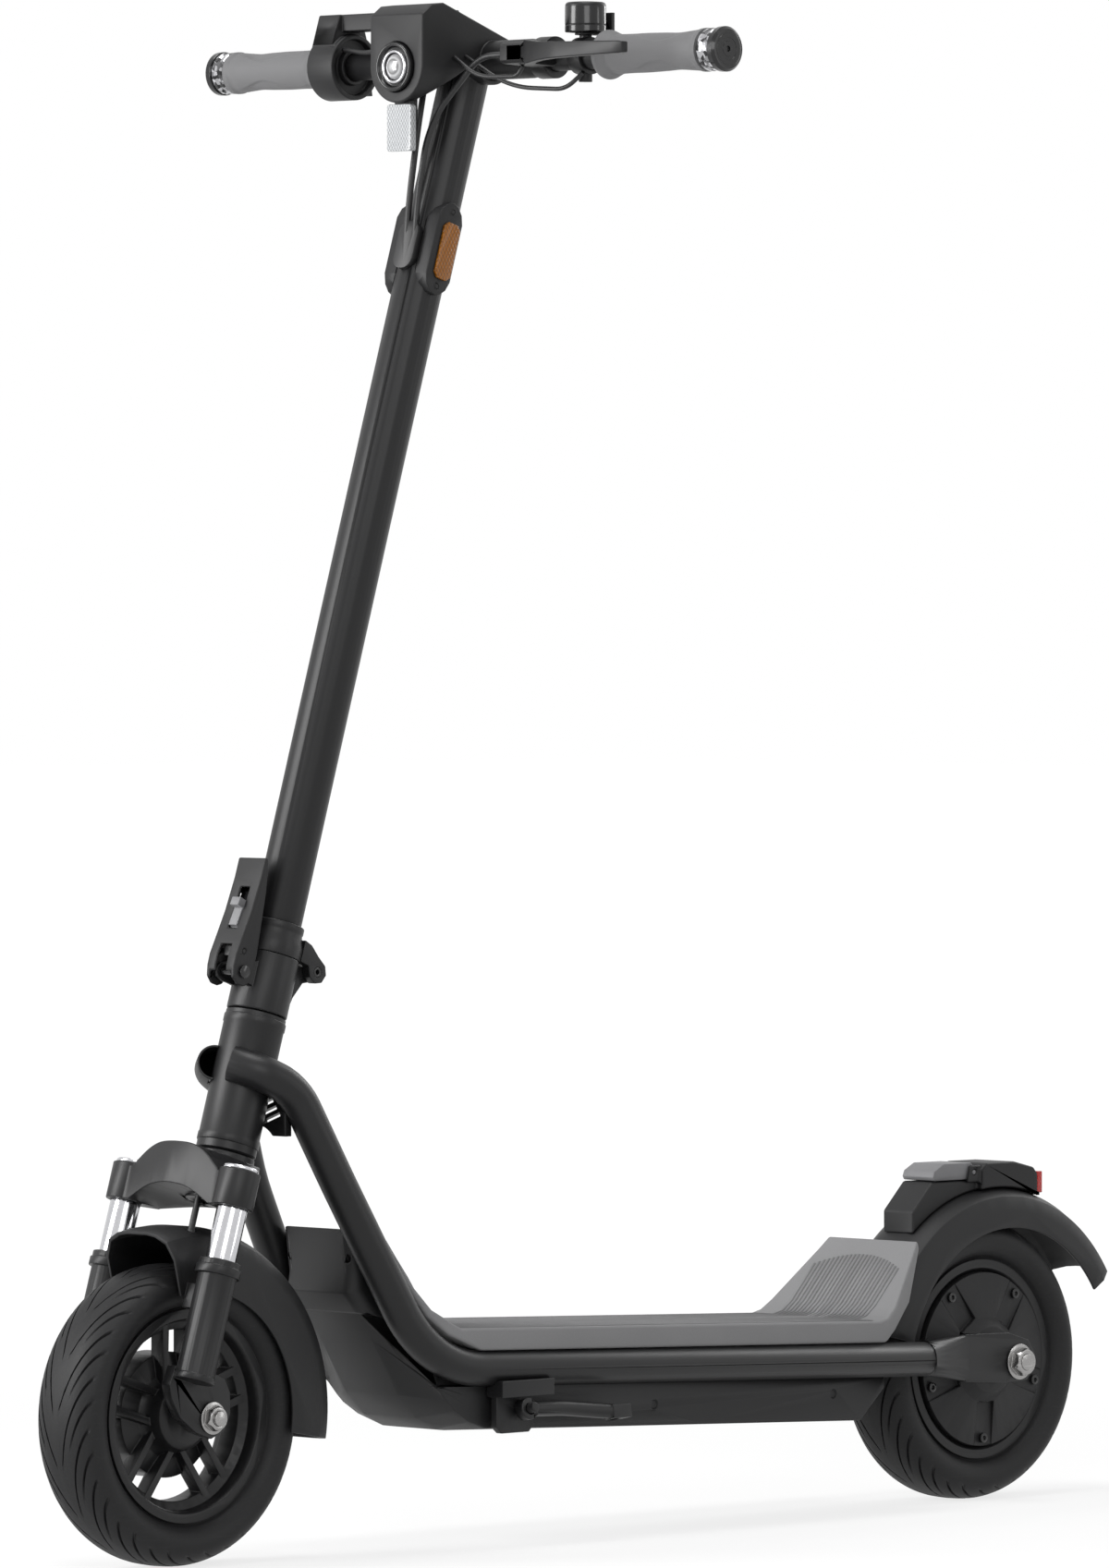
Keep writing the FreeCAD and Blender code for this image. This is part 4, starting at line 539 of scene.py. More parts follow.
def join_meshes(parts):
    """One bmesh holding several."""
    whole = bmesh.new()
    for part in parts:
        mesh = bpy.data.meshes.new("part")
        part.to_mesh(mesh)
        part.free()
        whole.from_mesh(mesh)
        bpy.data.meshes.remove(mesh)
    return whole


def curve_through(corners, pieces):
    """Smooth run of points through corners given as pairs."""
    answer = []
    for index in range(len(corners) - 1):
        before = Vector(corners[max(index - 1, 0)])
        here = Vector(corners[index])
        after = Vector(corners[index + 1])
        beyond = Vector(corners[min(index + 2, len(corners) - 1)])
        for step in range(pieces):
            t = step / pieces
            bend = before * 2 - here * 5 + after * 4 - beyond
            twist = here * 3 - before - after * 3 + beyond
            answer.append((here * 2 + (after - before) * t + bend * t * t + twist * t ** 3) / 2)
    answer.append(Vector(corners[-1]))
    return answer


# ---------------------------------------------------------------- tyres
OUTER = ((79.1, 21.7), (86.0, 21.9), (88.5, 25.5), (92.0, 29.4), (97.0, 32.2), (102.0, 32.95),
         (107.0, 31.9), (111.5, 28.9), (115.3, 24.0), (118.0, 18.0), (119.5, 11.0), (119.95, 0.0))
INNER = ((112.5, 0.0), (112.0, 9.0), (110.5, 16.0), (107.2, 22.0), (102.0, 26.0), (96.5, 25.5),
         (91.0, 21.5), (86.5, 16.5), (79.1, 13.0))
COLUMNS = (-0.058, -0.036, 0.036, 0.058, 0.14, 0.22, 0.31, 0.40, 0.442, 0.464, 0.536, 0.558,
           0.64, 0.72, 0.80, 0.88)
FLOOR_LONG = (1, 2)
FLOOR_SHORT = (9, 10)
LONG_RISE, LONG_FALL = (0.10, 0.26), (0.80, 0.92)
SHORT_RISE, SHORT_FALL = (0.44, 0.56), (0.86, 0.97)
TREAD_HALF_WIDTH = 33.0
TREAD_RADIUS = 96.0
TREAD_EDGE_LANE = 1.1
SIDEWALL_LANE = 1.2
LINING_LANE = 9.0
SWEEP_CURVE = 1.35
TYRE_SHARP_ANGLE = math.radians(38)


def fade(value, low, high):
    """Smooth step from nought at low to one at high."""
    t = min(1.0, max(0.0, (value - low) / (high - low)))
    return t * t * (3 - 2 * t)


def plateau(value, rise, fall):
    """Nought to one over the rise, and back to nought over the fall."""
    return fade(value, *rise) * (1 - fade(value, *fall))


def tyre(name, centre, node):
    """Tyre turned from its section, with long and short swept grooves."""
    half = curve_through(OUTER, 3)
    outline = [(p.x, p.y) for p in half] + [(p.x, -p.y) for p in reversed(half[:-1])]
    lanes = [p.y / TREAD_HALF_WIDTH if p.x > TREAD_RADIUS else math.copysign(SIDEWALL_LANE, p.y)
             for p in half]
    lanes = lanes + [-lane for lane in reversed(lanes[:-1])]
    lining = [(r, -y) for r, y in reversed(INNER)] + [(r, y) for r, y in INNER[1:]]
    skin_points = len(outline)
    outline += lining
    pitches = sizes().tread_pitches
    total = pitches * len(COLUMNS)
    bm = bmesh.new()
    layer = bm.verts.layers.float.new("lane")
    ring = []
    for index, (radius, along) in enumerate(outline):
        vert = bm.verts.new(centre + UP * (radius * MM) + ACROSS * (along * MM))
        vert[layer] = lanes[index] if index < skin_points else LINING_LANE
        ring.append(vert)
    edges = [bm.edges.new((ring[i], ring[(i + 1) % len(ring)])) for i in range(len(ring))]
    bmesh.ops.spin(bm, geom=ring + edges, cent=centre, axis=ACROSS, angle=FULL_TURN, steps=total,
                   use_merge=True, use_duplicate=False)
    bmesh.ops.remove_doubles(bm, verts=bm.verts, dist=MERGE_DISTANCE)
    for vert in bm.verts:
        out = vert.co - centre
        radius = math.hypot(out.x, out.z)
        slot = round(math.atan2(out.z, out.x) / FULL_TURN * total) % total
        pitch, column = divmod(slot, len(COLUMNS))
        lane = abs(vert[layer])
        angle = (pitch + COLUMNS[column]) / pitches * FULL_TURN
        if lane < TREAD_EDGE_LANE:
            angle -= sizes().groove_sweep * (1 - min(1.0, lane)) ** SWEEP_CURVE
            depth = 0.0
            if column in FLOOR_LONG:
                depth = plateau(lane, LONG_RISE, LONG_FALL)
            if column in FLOOR_SHORT:
                depth = plateau(lane, SHORT_RISE, SHORT_FALL)
            radius -= sizes().groove_depth * depth
        vert.co = centre + Vector((math.cos(angle) * radius, out.y, math.sin(angle) * radius))
    bmesh.ops.recalc_face_normals(bm, faces=bm.faces)
    piece = new_piece(name, bm, rubber(), NODE_BODY[node], (node,))
    piece.data.set_sharp_from_angle(angle=TYRE_SHARP_ANGLE)
    return piece


# ---------------------------------------------------------------- deck mat ribs
RIBS_EACH_SIDE = 15
RIB_SHARE = 0.55
RIB_ROOT = -0.4
MAT_TOP = 18.0
MAT_RUN = (246.0, 120.0, 0.0, -120.0, -240.0)
FOOTREST_HALF_WIDTH = 51.0
FOOTREST_FOOT = (-251.0, 21.0)
FOOTREST_BEND = (-262.0, 30.0)
FOOTREST_RUN = 38.0
FOOTREST_RISE = 43.0
FOOTREST_TOP = 70.0
FOOTREST_CROWN = 0.004


def deck_point(along, y, height):
    """Place on the tilted deck, from millimetres."""
    turn = Matrix.Rotation(-DECK_TILT, 3, "Y")
    return DECK_START + turn @ Vector((along * MM, 0.0, height * MM)) + ACROSS * (y * MM)


def rib(bm, path, y, width, height):
    """One raised strip that follows a path of (along, height) points, its ends closed."""
    spots = []
    for index, (along, level) in enumerate(path):
        before = Vector(path[max(index - 1, 0)])
        after = Vector(path[min(index + 1, len(path) - 1)])
        way = (after - before).normalized()
        outward = Vector((way.y, -way.x)) if way.x < 0 else Vector((-way.y, way.x))
        spots.append((Vector((along, level)), outward))
    base, outward = spots[0]
    corners = []
    for side, lift in ((-1, RIB_ROOT), (1, RIB_ROOT), (1, height), (-1, height)):
        spot = base + outward * lift
        corners.append(bm.verts.new(deck_point(spot.x, y + side * width / 2, spot.y)))
    face = bm.faces.new(corners)
    for (here, out_here), (there, out_there) in zip(spots, spots[1:]):
        result = bmesh.ops.extrude_face_region(bm, geom=[face])
        moved = [item for item in result["geom"] if isinstance(item, bmesh.types.BMVert)]
        for vert in moved:
            side = 1 if vert.co.y / MM > y else -1
            gaps = []
            for lift in (RIB_ROOT, height):
                old = here + out_here * lift
                old_place = deck_point(old.x, y + side * width / 2, old.y)
                gaps.append(((old_place - vert.co).length, lift))
            spot = there + out_there * min(gaps)[1]
            vert.co = deck_point(spot.x, y + side * width / 2, spot.y)
        face = [item for item in result["geom"] if isinstance(item, bmesh.types.BMFace)][0]


def mat_ribs():
    """Long ribs of the mat that run on up the rear footrest."""
    bm = bmesh.new()
    pitch = sizes().rib_pitch / MM
    height = sizes().rib_height / MM
    for index in range(-RIBS_EACH_SIDE, RIBS_EACH_SIDE + 1):
        y = index * pitch
        path = [(along, MAT_TOP) for along in MAT_RUN]
        if abs(y) < FOOTREST_HALF_WIDTH:
            climb = FOOTREST_TOP - FOOTREST_CROWN * y * y
            back = FOOTREST_RUN * (climb - FOOTREST_BEND[1]) / FOOTREST_RISE
            path += [FOOTREST_FOOT, FOOTREST_BEND, (FOOTREST_BEND[0] - back, climb)]
        rib(bm, path, y, pitch * RIB_SHARE, height)
    bmesh.ops.recalc_face_normals(bm, faces=bm.faces)
    return bm


# ---------------------------------------------------------------- grips and bar ends
GRIP_LEFT = ((11.3, 158.3), (17.3, 158.3), (19.4, 160.4), (19.9, 163.4), (18.4, 167.6),
             (16.9, 172.4), (16.5, 178.0), (16.3, 190.0), (16.4, 205.0), (16.2, 216.0),
             (15.9, 228.0), (15.4, 240.0), (15.7, 248.0), (16.3, 256.0), (17.1, 266.0),
             (17.4, 271.0), (17.3, 274.4), (11.3, 274.4))
GRIP_START, GRIP_END = GRIP_LEFT[0][1], GRIP_LEFT[-1][1]
GRIP_BORE_LIMIT = 0.0150
PANEL_START, PANEL_END = 172.0, 268.0
PANEL_HEIGHT = 1.4
PANEL_SINK = 0.6
PANEL_BLEND = 3.5
THROTTLE_SHIFT = 4.6
WAVE_MIDDLE = 46.0
WAVE_SWING = 15.0
WAVE_HALF_TURNS = 2.6


def grip(side, shift):
    """Moulded grip with a raised panel whose edges wave along it."""
    corners = curve_through(GRIP_LEFT[1:-1], 4)
    outline = [GRIP_LEFT[0]] + [(p.x, p.y) for p in corners] + [GRIP_LEFT[-1]]
    scaled = []
    for radius, along in outline:
        share = (GRIP_END - along) / (GRIP_END - GRIP_START)
        scaled.append((radius, side * (along + shift * share)))
    bm = spun(scaled, Vector((BAR_CENTRE.x, 0.0, BAR_CENTRE.z)), steps=120)
    for vert in bm.verts:
        out = Vector((vert.co.x - BAR_CENTRE.x, 0.0, vert.co.z - BAR_CENTRE.z))
        along = abs(vert.co.y) / MM
        if out.length < GRIP_BORE_LIMIT or along < PANEL_START or along > PANEL_END:
            continue
        angle = abs(math.degrees(math.atan2(out.z, out.x)))
        way = (along - PANEL_START) / (PANEL_END - PANEL_START)
        wave = WAVE_MIDDLE + WAVE_SWING * math.sin(way * WAVE_HALF_TURNS * math.pi)
        edge = (wave - PANEL_BLEND, wave + PANEL_BLEND)
        panel = (1 - fade(angle, *edge)) * plateau(along, (172.0, 181.0), (258.0, 267.0))
        back = (1 - fade(180.0 - angle, *edge)) * plateau(along, (176.0, 186.0), (250.0, 262.0))
        lift = (max(panel, back) * PANEL_HEIGHT - PANEL_SINK) * MM
        vert.co += out.normalized() * lift
    return bm


def bar_end(side):
    """Clear faceted ring and the domed cap that closes the bar."""
    centre = Vector((BAR_CENTRE.x, 0.0, BAR_CENTRE.z))
    ring = [(11.3, 275.0), (16.3, 275.0), (17.2, 276.2), (17.3, 279.0), (15.9, 280.4),
            (15.9, 282.0), (17.3, 283.4), (17.3, 286.2), (16.4, 287.4), (11.3, 287.4)]
    cap = [(0.0, 293.4), (1.9, 293.4), (2.4, 295.1), (6.0, 295.2), (6.2, 294.7), (9.0, 294.7),
           (9.2, 295.2), (12.6, 295.2), (12.8, 294.8), (14.4, 294.8), (15.8, 295.2), (18.1, 292.9),
           (18.1, 288.4), (17.6, 287.8), (8.4, 287.8), (8.4, 276.2), (0.0, 276.2)]
    rings = spun([(r, side * a) for r, a in ring], centre, steps=26)
    caps = spun([(r, side * a) for r, a in cap], centre, steps=72, whole=False)
    return rings, caps


# ---------------------------------------------------------------- springs, and painted shade in the latch slot
SLOT_LEAN = math.atan2(4.0, 25.0)
SHADE_PLATE_THICKNESS = 0.0004
SHADE_PLATE_GAP = 0.00026
SHADE_PLATE_MARGINS = Vector((0.0, 0.004, 0.009))
SHADE_PLATE_RAISE = 0.004
SHADE_PLATE_ROUNDING = 0.0001


def leaning_extent(vertices, lean):
    """Lowest and highest corners measured in the turned frame of the front axle."""
    spots = [lean @ (vert.co - FRONT_AXLE) for vert in vertices]
    low = Vector([min(spot[axis] for spot in spots) for axis in range(3)])
    high = Vector([max(spot[axis] for spot in spots) for axis in range(3)])
    return low, high


def coils():
    """Fork springs between the steered tubes and the sliding legs, copied with a steel finish."""
    mesh = frame["nodes"]["fork_springs"].data.copy()
    mesh.materials.clear()
    mesh.materials.append(steel())
    piece = bpy.data.objects.new("fork_spring_coils", mesh)
    bpy.context.scene.collection.objects.link(piece)
    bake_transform(piece)
    steel().name.replace(FINISH, "")
    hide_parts("fork_springs")


def slot_shade_plate():
    """Dark plate inside the latch lever, behind the slot that its slider runs in: painted shade,
    put where the inside of the slot is in shadow.
    """
    lean = Matrix.Rotation(RAKE + SLOT_LEAN, 3, "Y")
    low, high = leaning_extent(frame["nodes"]["latch_slider"].data.vertices, lean)
    extent = high - low + SHADE_PLATE_MARGINS
    extent.x = SHADE_PLATE_THICKNESS
    middle = Vector((low.x - SHADE_PLATE_GAP, 0.0, (low.z + high.z) / 2 + SHADE_PLATE_RAISE))
    bm = bmesh.new()
    bmesh.ops.create_cube(bm, size=1.0)
    bmesh.ops.scale(bm, vec=extent, verts=bm.verts)
    bmesh.ops.translate(bm, vec=middle, verts=bm.verts)
    bmesh.ops.transform(bm, matrix=Matrix.Translation(FRONT_AXLE) @ lean.inverted().to_4x4(),
                        verts=bm.verts)
    bmesh.ops.bevel(bm, geom=bm.edges[:], offset=SHADE_PLATE_ROUNDING, affect="EDGES", segments=2,
                    profile=0.5, material=-1)
    return bm


# ---------------------------------------------------------------- stage
CAMERA_TURN = math.radians(44.8374)
CAMERA_PITCH = math.radians(0.99225)
CAMERA_ROLL = math.radians(0.0436)
CAMERA_PLACE = (6.2399, 6.22818, 0.76647)
CAMERA_LENS = 246.15
CAMERA_SENSOR = 36.0
CAMERA_REACH = 60.0
WORLD_LIGHT = 0.24
FLOOR_HALF_SIZE = 30.0
FLOOR_DROP = 0.0002
SHADOW_NEAR, SHADOW_FAR = 0.9, 2.4
GLOW_NEAR, GLOW_FAR = 0.74, 1.0
FLOOR_GLOW = 1.04
LAMP_TARGET = Vector((0.0, 0.0, 0.6))


def seen_directly(tree):
    """One for rays from the camera, off gloss and through clear parts, and nought for the rest."""
    path = tree.nodes.new("ShaderNodeLightPath")
    near = maths(tree, "MAXIMUM", path.outputs["Is Camera Ray"], path.outputs["Is Glossy Ray"])
    return maths(tree, "MAXIMUM", near, path.outputs["Is Transmission Ray"])


def mix_shaders(tree, share, first, second):
    """First shader where the share is nought, second where it is one."""
    mixed = tree.nodes.new("ShaderNodeMixShader")
    tree.links.new(share, mixed.inputs[0])
    tree.links.new(first, mixed.inputs[1])
    tree.links.new(second, mixed.inputs[2])
    return mixed.outputs[0]


def add_camera(scene):
    """Studio camera, and its directions right and away from the scooter."""
    level = math.cos(CAMERA_PITCH)
    look = Vector((-math.sin(CAMERA_TURN) * level, -math.cos(CAMERA_TURN) * level,
                   -math.sin(CAMERA_PITCH)))
    right = Vector((-math.cos(CAMERA_TURN), math.sin(CAMERA_TURN), 0.0))
    up = (-look).cross(right)
    right_rolled = right * math.cos(CAMERA_ROLL) + up * math.sin(CAMERA_ROLL)
    up_rolled = up * math.cos(CAMERA_ROLL) - right * math.sin(CAMERA_ROLL)
    data = bpy.data.cameras.new("studio camera")
    data.sensor_width = CAMERA_SENSOR
    data.lens = CAMERA_LENS
    data.clip_end = CAMERA_REACH
    camera = bpy.data.objects.new("studio camera", data)
    placed = Matrix((right_rolled, up_rolled, -look)).transposed().to_4x4()
    placed.translation = CAMERA_PLACE
    camera.matrix_world = placed
    scene.collection.objects.link(camera)
    scene.camera = camera
    return right, (-look).normalized()


def add_world(scene):
    """White surroundings that light the scooter less than they show."""
    world = bpy.data.worlds.new("studio")
    world.use_nodes = True
    tree = world.node_tree
    tree.nodes.clear()
    backgrounds = []
    for strength in (WORLD_LIGHT, 1.0):
        background = tree.nodes.new("ShaderNodeBackground")
        background.inputs["Color"].default_value = (1.0, 1.0, 1.0, 1.0)
        background.inputs["Strength"].default_value = strength
        backgrounds.append(background.outputs[0])
    end = tree.nodes.new("ShaderNodeOutputWorld")
    tree.links.new(mix_shaders(tree, seen_directly(tree), *backgrounds), end.inputs["Surface"])
    scene.world = world


def floor_white():
    """White floor that keeps a faint shadow near the scooter and none far off."""
    material = bpy.data.materials.new("studio_white")
    material.use_nodes = True
    tree = material.node_tree
    shader = tree.nodes["Principled BSDF"]
    shader.inputs["Base Color"].default_value = (0.92, 0.92, 0.92, 1.0)
    shader.inputs["Roughness"].default_value = 0.9
    shader.inputs["Specular IOR Level"].default_value = 0.0
    coords = tree.nodes.new("ShaderNodeTexCoord")
    reach = tree.nodes.new("ShaderNodeVectorMath")
    reach.operation = "LENGTH"
    tree.links.new(coords.outputs["Object"], reach.inputs[0])
    spread = tree.nodes.new("ShaderNodeMapRange")
    spread.inputs["From Min"].default_value = SHADOW_NEAR
    spread.inputs["From Max"].default_value = SHADOW_FAR
    spread.inputs["To Min"].default_value = GLOW_NEAR
    spread.inputs["To Max"].default_value = GLOW_FAR
    tree.links.new(reach.outputs["Value"], spread.inputs["Value"])
    glow = tree.nodes.new("ShaderNodeEmission")
    glow.inputs["Strength"].default_value = FLOOR_GLOW
    share = maths(tree, "MULTIPLY", seen_directly(tree), spread.outputs[0])
    tree.links.new(mix_shaders(tree, share, shader.outputs[0], glow.outputs[0]),
                   tree.nodes["Material Output"].inputs["Surface"])
    return material


def add_floor(scene):
    """Wide floor just under the wheels."""
    bm = bmesh.new()
    bmesh.ops.create_grid(bm, x_segments=2, y_segments=2, size=FLOOR_HALF_SIZE)
    mesh = bpy.data.meshes.new("studio_floor")
    bm.to_mesh(mesh)
    bm.free()
    mesh.materials.append(floor_white())
    floor = bpy.data.objects.new("studio_floor", mesh)
    scene.collection.objects.link(floor)
    floor.location.z = -FLOOR_DROP


def add_lamps(scene, right, toward):
    """Soft lamps: each has a name, a place from the target, width, height and power."""
    lamps = (("key lamp", -right * 2.7 + toward * 1.0 + UP * 0.8, 1.2, 2.2, 96.0),
             ("front lamp", toward * 3.4 + right * 0.4 + UP * 1.2, 1.6, 1.6, 30.0),
             ("fill lamp", right * 2.9 + toward * 1.0 + UP * 0.5, 0.4, 1.8, 9.0),
             ("top lamp", UP * 2.8 + toward * 0.4, 1.2, 1.2, 40.0),
             ("back lamp", right * 2.0 - toward * 2.2 + UP * 1.4, 0.7, 1.4, 20.0))
    for name, place, width, height, power in lamps:
        data = bpy.data.lights.new(name, "AREA")
        data.shape = "RECTANGLE"
        data.size = width
        data.size_y = height
        data.energy = power
        lamp = bpy.data.objects.new(name, data)
        lamp.matrix_world = (Matrix.Translation(LAMP_TARGET + place)
                             @ place.to_track_quat("Z", "Y").to_matrix().to_4x4())
        scene.collection.objects.link(lamp)


# ---------------------------------------------------------------- operators
class ScooterStage(bpy.types.Operator):
    """Camera, floor, world and lamps"""

    bl_idname = "scooter.stage"
    bl_label = "Stage"

    def execute(self, context):
        scene = context.scene
        right, toward = add_camera(scene)
        scene.view_settings.view_transform = "Standard"
        add_world(scene)
        add_floor(scene)
        add_lamps(scene, right, toward)
        return {"FINISHED"}


class ScooterTubes(bpy.types.Operator):
    """Head tube, the two side tubes and the gusset between them"""

    bl_idname = "scooter.tubes"
    bl_label = "Frame Tubes"

    def execute(self, context):
        refine("head_tube", paint())
        refine("left_side_tube", paint())
        refine("right_side_tube", paint())
        refine("head_gusset", paint())
        dress("headset_bearings", paint())
        return {"FINISHED"}


class ScooterDeck(bpy.types.Operator):
    """Deck board with its ribbed mat and footrest"""

    bl_idname = "scooter.deck"
    bl_label = "Deck"

    def execute(self, context):
        refine("deck_board", aluminium())
        refine("deck_mat", mat_rubber(), edge=4.0, segments=4)
        new_piece("mat_ribs", mat_ribs(), mat_rubber(), "frame")
        return {"FINISHED"}


class ScooterCase(bpy.types.Operator):
    """Battery case, its cells and the charge port cover"""

    bl_idname = "scooter.case"
    bl_label = "Battery Case"

    def execute(self, context):
        refine("battery_case", plastic(), edge=1.6, segments=3)
        dress("battery_pack", cell_wrap())
        refine("charge_port_cover", plastic())
        return {"FINISHED"}


class ScooterTail(bpy.types.Operator):
    """Rear fender, tail housing, lens and the stem catch"""

    bl_idname = "scooter.tail"
    bl_label = "Rear Fender and Tail"

    def execute(self, context):
        refine("rear_fender", plastic())
        refine("tail_housing", plastic(), edge=3.4, segments=4)
        refine("tail_light_lens", red_prism())
        refine("rear_latch_lever", pale_plastic(), edge=1.6, segments=3)
        return {"FINISHED"}


class ScooterRearWheel(bpy.types.Operator):
    """Rear tyre, hub motor, axle and nuts"""

    bl_idname = "scooter.rear_wheel"
    bl_label = "Rear Wheel"

    def execute(self, context):
        tyre("rear_tyre_tread", REAR_AXLE, "rear_tyre")
        refine("motor_shell", paint())
        refine("motor_cover", plastic())
        refine("motor_cover_screws", gloss(), edge=0.4)
        refine("rear_axle", steel())
        refine("rear_axle_nuts", steel(), edge=0.6)
        dress("motor_stator", iron())
        return {"FINISHED"}


class ScooterFrontWheel(bpy.types.Operator):
    """Front tyre and cast wheel"""

    bl_idname = "scooter.front_wheel"
    bl_label = "Front Wheel"

    def execute(self, context):
        tyre("front_tyre_tread", FRONT_AXLE, "front_tyre")
        refine("front_rim", paint())
        return {"FINISHED"}


class ScooterFork(bpy.types.Operator):
    """Sprung fork, its fender, axle and drum brake plate"""

    bl_idname = "scooter.fork"
    bl_label = "Fork"

    def execute(self, context):
        refine("fork_crown", paint(), edge=1.6, segments=3)
        refine("fork_stanchions", chrome())
        for node in ("left_fork_leg", "right_fork_leg"):
            refine(node, paint())
        coils()
        refine("front_axle", steel())
        refine("front_axle_nuts", steel(), edge=0.6)
        refine("front_fender", plastic())
        refine("brake_backing_plate", steel())
        refine("brake_arm", paint())
        refine("fork_brake_cable", jacket(), edge=0.4)
        return {"FINISHED"}


class ScooterFold(bpy.types.Operator):
    """Folding joint and its latch"""

    bl_idname = "scooter.fold"
    bl_label = "Folding Joint"

    def execute(self, context):
        refine("fold_base", paint(), edge=1.4, segments=3)
        refine("fold_pins", gloss(), edge=0.6)
        refine("stem_collar", paint(), edge=1.4, segments=3)
        refine("latch_lever", plastic(), edge=2.4, segments=4)
        refine("latch_hook", paint())
        refine("latch_slider", pale_plastic())
        # painted shade: a dark plate fills the inside of the latch slot
        new_piece("latch_slot_backing", slot_shade_plate(), gloss(), "latch")
        return {"FINISHED"}


class ScooterStem(bpy.types.Operator):
    """Stem tube and handlebar"""

    bl_idname = "scooter.stem"
    bl_label = "Stem and Bar"

    def execute(self, context):
        refine("stem_tube", paint())
        refine("handlebar", paint())
        return {"FINISHED"}


class ScooterGrips(bpy.types.Operator):
    """Grips and the ends of the bar"""

    bl_idname = "scooter.grips"
    bl_label = "Grips"

    def execute(self, context):
        both = join_meshes([grip(1, 0.0), grip(-1, THROTTLE_SHIFT)])
        soften(new_piece("moulded_grips", both, grip_rubber(), "stem", ("grips",)),
               sizes().edge, 2, 40.0)
        rings, caps = zip(bar_end(1), bar_end(-1))
        ring_piece = new_piece("bar_end_rings", join_meshes(rings), jewel(), "stem",
                               ("bar_end_caps",))
        ring_piece.data.polygons.foreach_set("use_smooth", [False] * len(ring_piece.data.polygons))
        cap_piece = new_piece("bar_end_domes", join_meshes(caps), gloss(), "stem",
                              ("bar_end_caps",))
        soften(cap_piece, sizes().edge * 0.3, 1, 30.0)
        return {"FINISHED"}


class ScooterDisplay(bpy.types.Operator):
    """Display head, its window and the mode button"""

    bl_idname = "scooter.display"
    bl_label = "Display Head"

    def execute(self, context):
        refine("display_housing", plastic(), edge=2.6, segments=4)
        refine("display_window", gloss(), edge=0.5)
        refine("mode_button", plastic())
        return {"FINISHED"}


# lamp sections as radius and depth behind the front of the lens, in millimetres
LENS_RADIUS = 11.1
LENS_RISE = 4.2
LENS_SINK = 4.4
LENS_BACK = 4.9
LAMP_SHELL = ((0.0, 12.4), (19.7, 12.4), (19.8, 1.6), (19.2, 0.8), (17.6, 0.8), (16.6, 1.6),
              (16.3, 4.6), (15.2, 5.0), (14.6, 5.0), (0.0, 5.0))
LAMP_RING = ((11.2, 5.0), (11.2, 2.4), (11.9, 1.7), (13.1, 1.9), (13.7, 2.8), (13.9, 5.0))


class ScooterLamp(bpy.types.Operator):
    """Headlight with its rings and lens"""

    bl_idname = "scooter.lamp"
    bl_label = "Headlight"

    def execute(self, context):
        low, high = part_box("headlight_lens")
        centre = Vector((0.0, 0.0, (low.z + high.z) / 2))
        front = high.x / MM
        outline = [(radius, front - depth) for radius, depth in LAMP_SHELL]
        shell = spun(outline, centre, FORWARD, FINE_STEPS, False)
        new_piece("lamp_shell", shell, gloss(), "stem", ("headlight_lens",))
        outline = [(radius, front - depth) for radius, depth in LAMP_RING]
        ring = spun(outline, centre, FORWARD, FINE_STEPS)
        new_piece("lamp_bright_ring", ring, chrome(), "stem", ("headlight_lens",))
        dome = []
        for step in range(11):
            reach = LENS_RADIUS * (1 - step / 10.0)
            rise = LENS_RISE * math.cos(reach / LENS_RADIUS * math.pi / 2) ** 0.8
            dome.append((reach, front - LENS_SINK + rise))
        base = [(0.0, front - LENS_BACK), (LENS_RADIUS, front - LENS_BACK)]
        lens = spun(base + dome, centre, FORWARD, FINE_STEPS, False)
        new_piece("lamp_lens", lens, lens_material(), "stem", ("headlight_lens",))
        return {"FINISHED"}


class ScooterReflectors(bpy.types.Operator):
    """Front and side reflectors and their saddles"""

    bl_idname = "scooter.reflectors"
    bl_label = "Reflectors"

    def execute(self, context):
        refine("front_reflector", white_prism(), edge=1.5, segments=3)
        refine("side_reflectors", amber_prism(), edge=1.2)
        refine("reflector_pods", plastic(), edge=1.4)
        return {"FINISHED"}


# bell section as radius and depth below its top, in millimetres
BELL_SIDE = 0.135
BELL_SHELL = ((0.0, 0.0), (12.6, 0.1), (14.8, 0.7), (16.1, 2.0), (16.7, 4.0), (16.75, 17.6),
              (16.2, 18.0), (16.2, 18.7), (16.75, 19.1), (16.75, 23.4), (16.3, 24.0),
              (14.8, 24.0), (14.8, 4.0), (0.0, 4.0))


class ScooterBell(bpy.types.Operator):
    """Bell with its dome, clamp and thumb lever"""

    bl_idname = "scooter.bell"
    bl_label = "Bell"

    def execute(self, context):
        refine("bell_body", paint(), edge=0.6)
        low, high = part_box("bell_body")
        top = high.z / MM
        centre = Vector((BAR_CENTRE.x, BELL_SIDE, 0.0))
        outline = [(radius, top - depth) for radius, depth in BELL_SHELL]
        dome = spun(outline, centre, UP, FINE_STEPS, False)
        piece = new_piece("bell_dome", dome, gloss(), "stem", ("bell_body",))
        soften(piece, sizes().edge * 0.3, 2, 30.0)
        refine("bell_lever", plastic(), edge=0.6)
        return {"FINISHED"}


class ScooterBrakeLever(bpy.types.Operator):
    """Brake lever and its bracket"""

    bl_idname = "scooter.brake_lever"
    bl_label = "Brake Lever"

    def execute(self, context):
        refine("lever_bracket", paint(), edge=1.2, segments=3)
        refine("brake_lever", paint(), edge=1.8, segments=3)
        return {"FINISHED"}


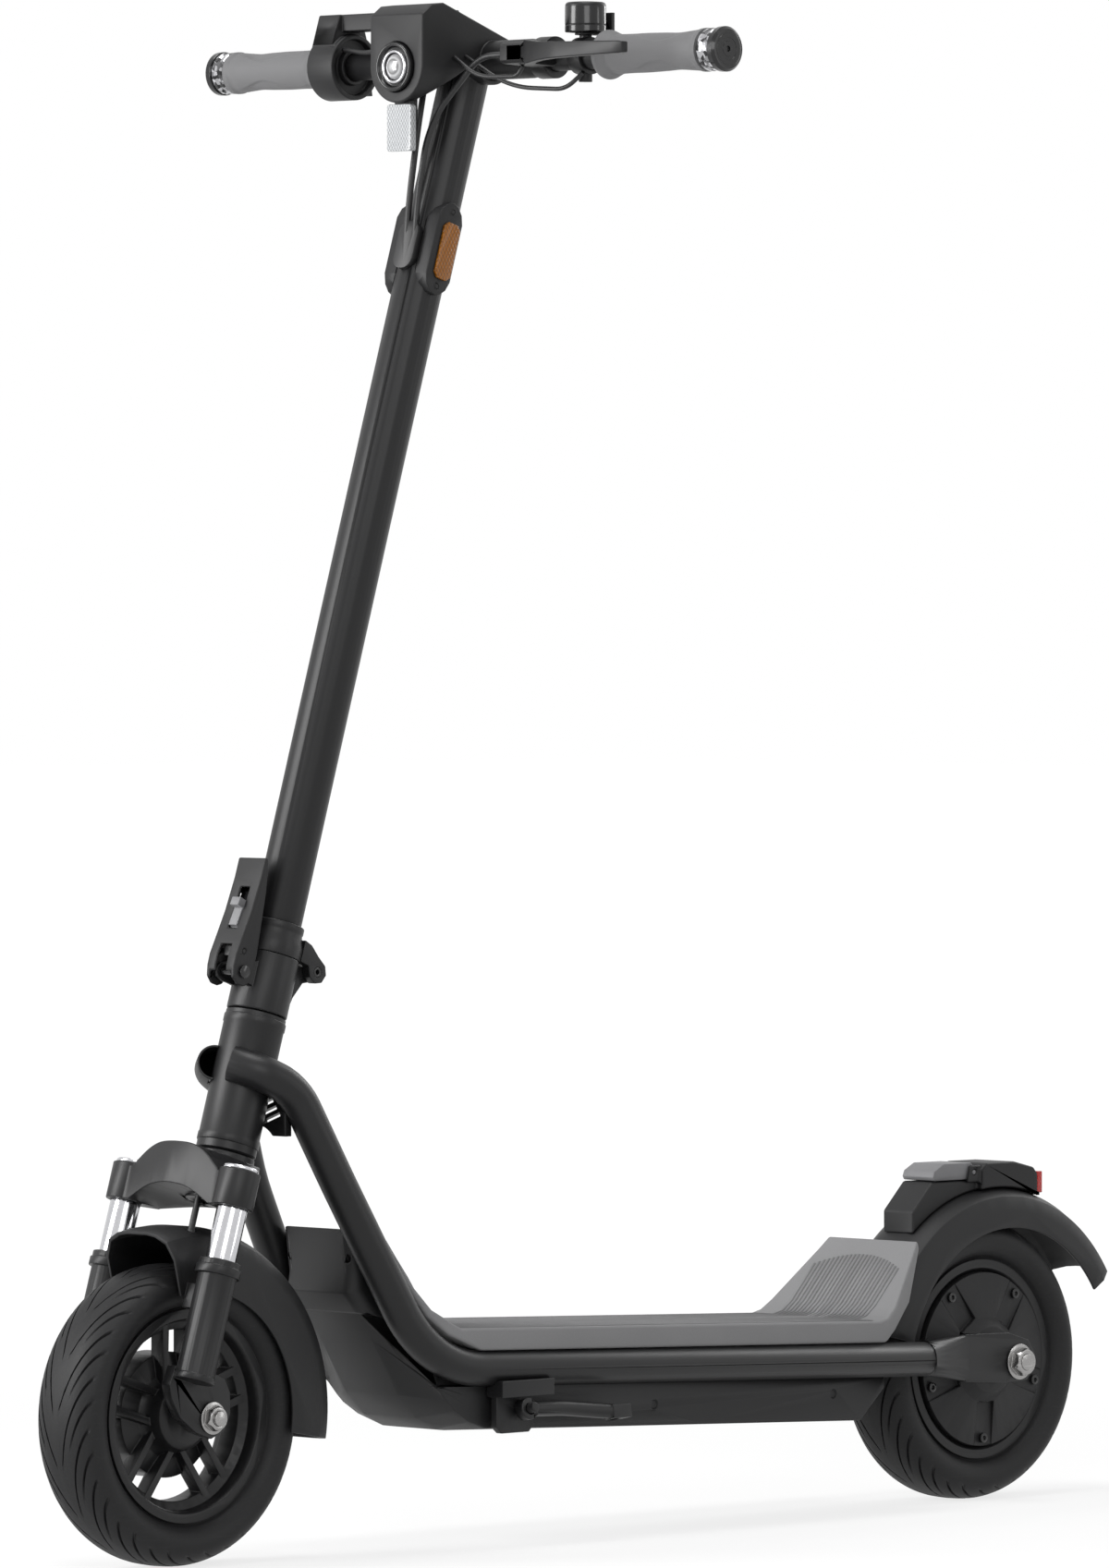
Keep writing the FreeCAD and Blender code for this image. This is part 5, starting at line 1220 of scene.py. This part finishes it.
class ScooterThrottle(bpy.types.Operator):
    """Throttle housing and paddle"""

    bl_idname = "scooter.throttle"
    bl_label = "Throttle"

    def execute(self, context):
        refine("throttle_housing", plastic(), edge=2.0, segments=4)
        refine("throttle_paddle", plastic(), edge=1.4, segments=3)
        return {"FINISHED"}


class ScooterCables(bpy.types.Operator):
    """Cables between the bar and the stem"""

    bl_idname = "scooter.cables"
    bl_label = "Cables"

    def execute(self, context):
        refine("control_cables", jacket(), edge=0.5)
        return {"FINISHED"}


class ScooterStand(bpy.types.Operator):
    """Kickstand and its bracket"""

    bl_idname = "scooter.stand"
    bl_label = "Kickstand"

    def execute(self, context):
        refine("kickstand_bracket", plastic(), edge=1.4, segments=3)
        refine("kickstand_leg", paint(), edge=1.6, segments=3)
        return {"FINISHED"}


STEPS = (ScooterStage, ScooterTubes, ScooterDeck, ScooterCase, ScooterTail, ScooterRearWheel,
         ScooterFrontWheel, ScooterFork, ScooterFold, ScooterStem, ScooterGrips, ScooterDisplay,
         ScooterLamp, ScooterReflectors, ScooterBell, ScooterBrakeLever, ScooterThrottle,
         ScooterCables, ScooterStand)


class ScooterPanel(bpy.types.Panel):
    """Sidebar list of the scooter's pieces"""

    bl_idname = "VIEW3D_PT_scooter"
    bl_label = "Kick Scooter"
    bl_space_type = "VIEW_3D"
    bl_region_type = "UI"
    bl_category = "Scooter"

    def draw(self, context):
        layout = self.layout
        for step in STEPS:
            layout.operator(step.bl_idname)
        for group in (context.scene.scooter_sizes, context.scene.scooter_colours):
            for key in group.bl_rna.properties.keys():
                if key not in ("rna_type", "name"):
                    layout.prop(group, key)


CLASSES = (ScooterColours, ScooterSizes) + STEPS + (ScooterPanel,)


def register():
    for item in CLASSES:
        bpy.utils.register_class(item)
    bpy.types.Scene.scooter_sizes = PointerProperty(type=ScooterSizes)
    bpy.types.Scene.scooter_colours = PointerProperty(type=ScooterColours)


def unregister():
    del bpy.types.Scene.scooter_colours
    del bpy.types.Scene.scooter_sizes
    for item in reversed(CLASSES):
        bpy.utils.unregister_class(item)


def main():
    register()
    for step in STEPS:
        group, name = step.bl_idname.split(".")
        getattr(getattr(bpy.ops, group), name)()


if __name__ == "__main__":
    main()
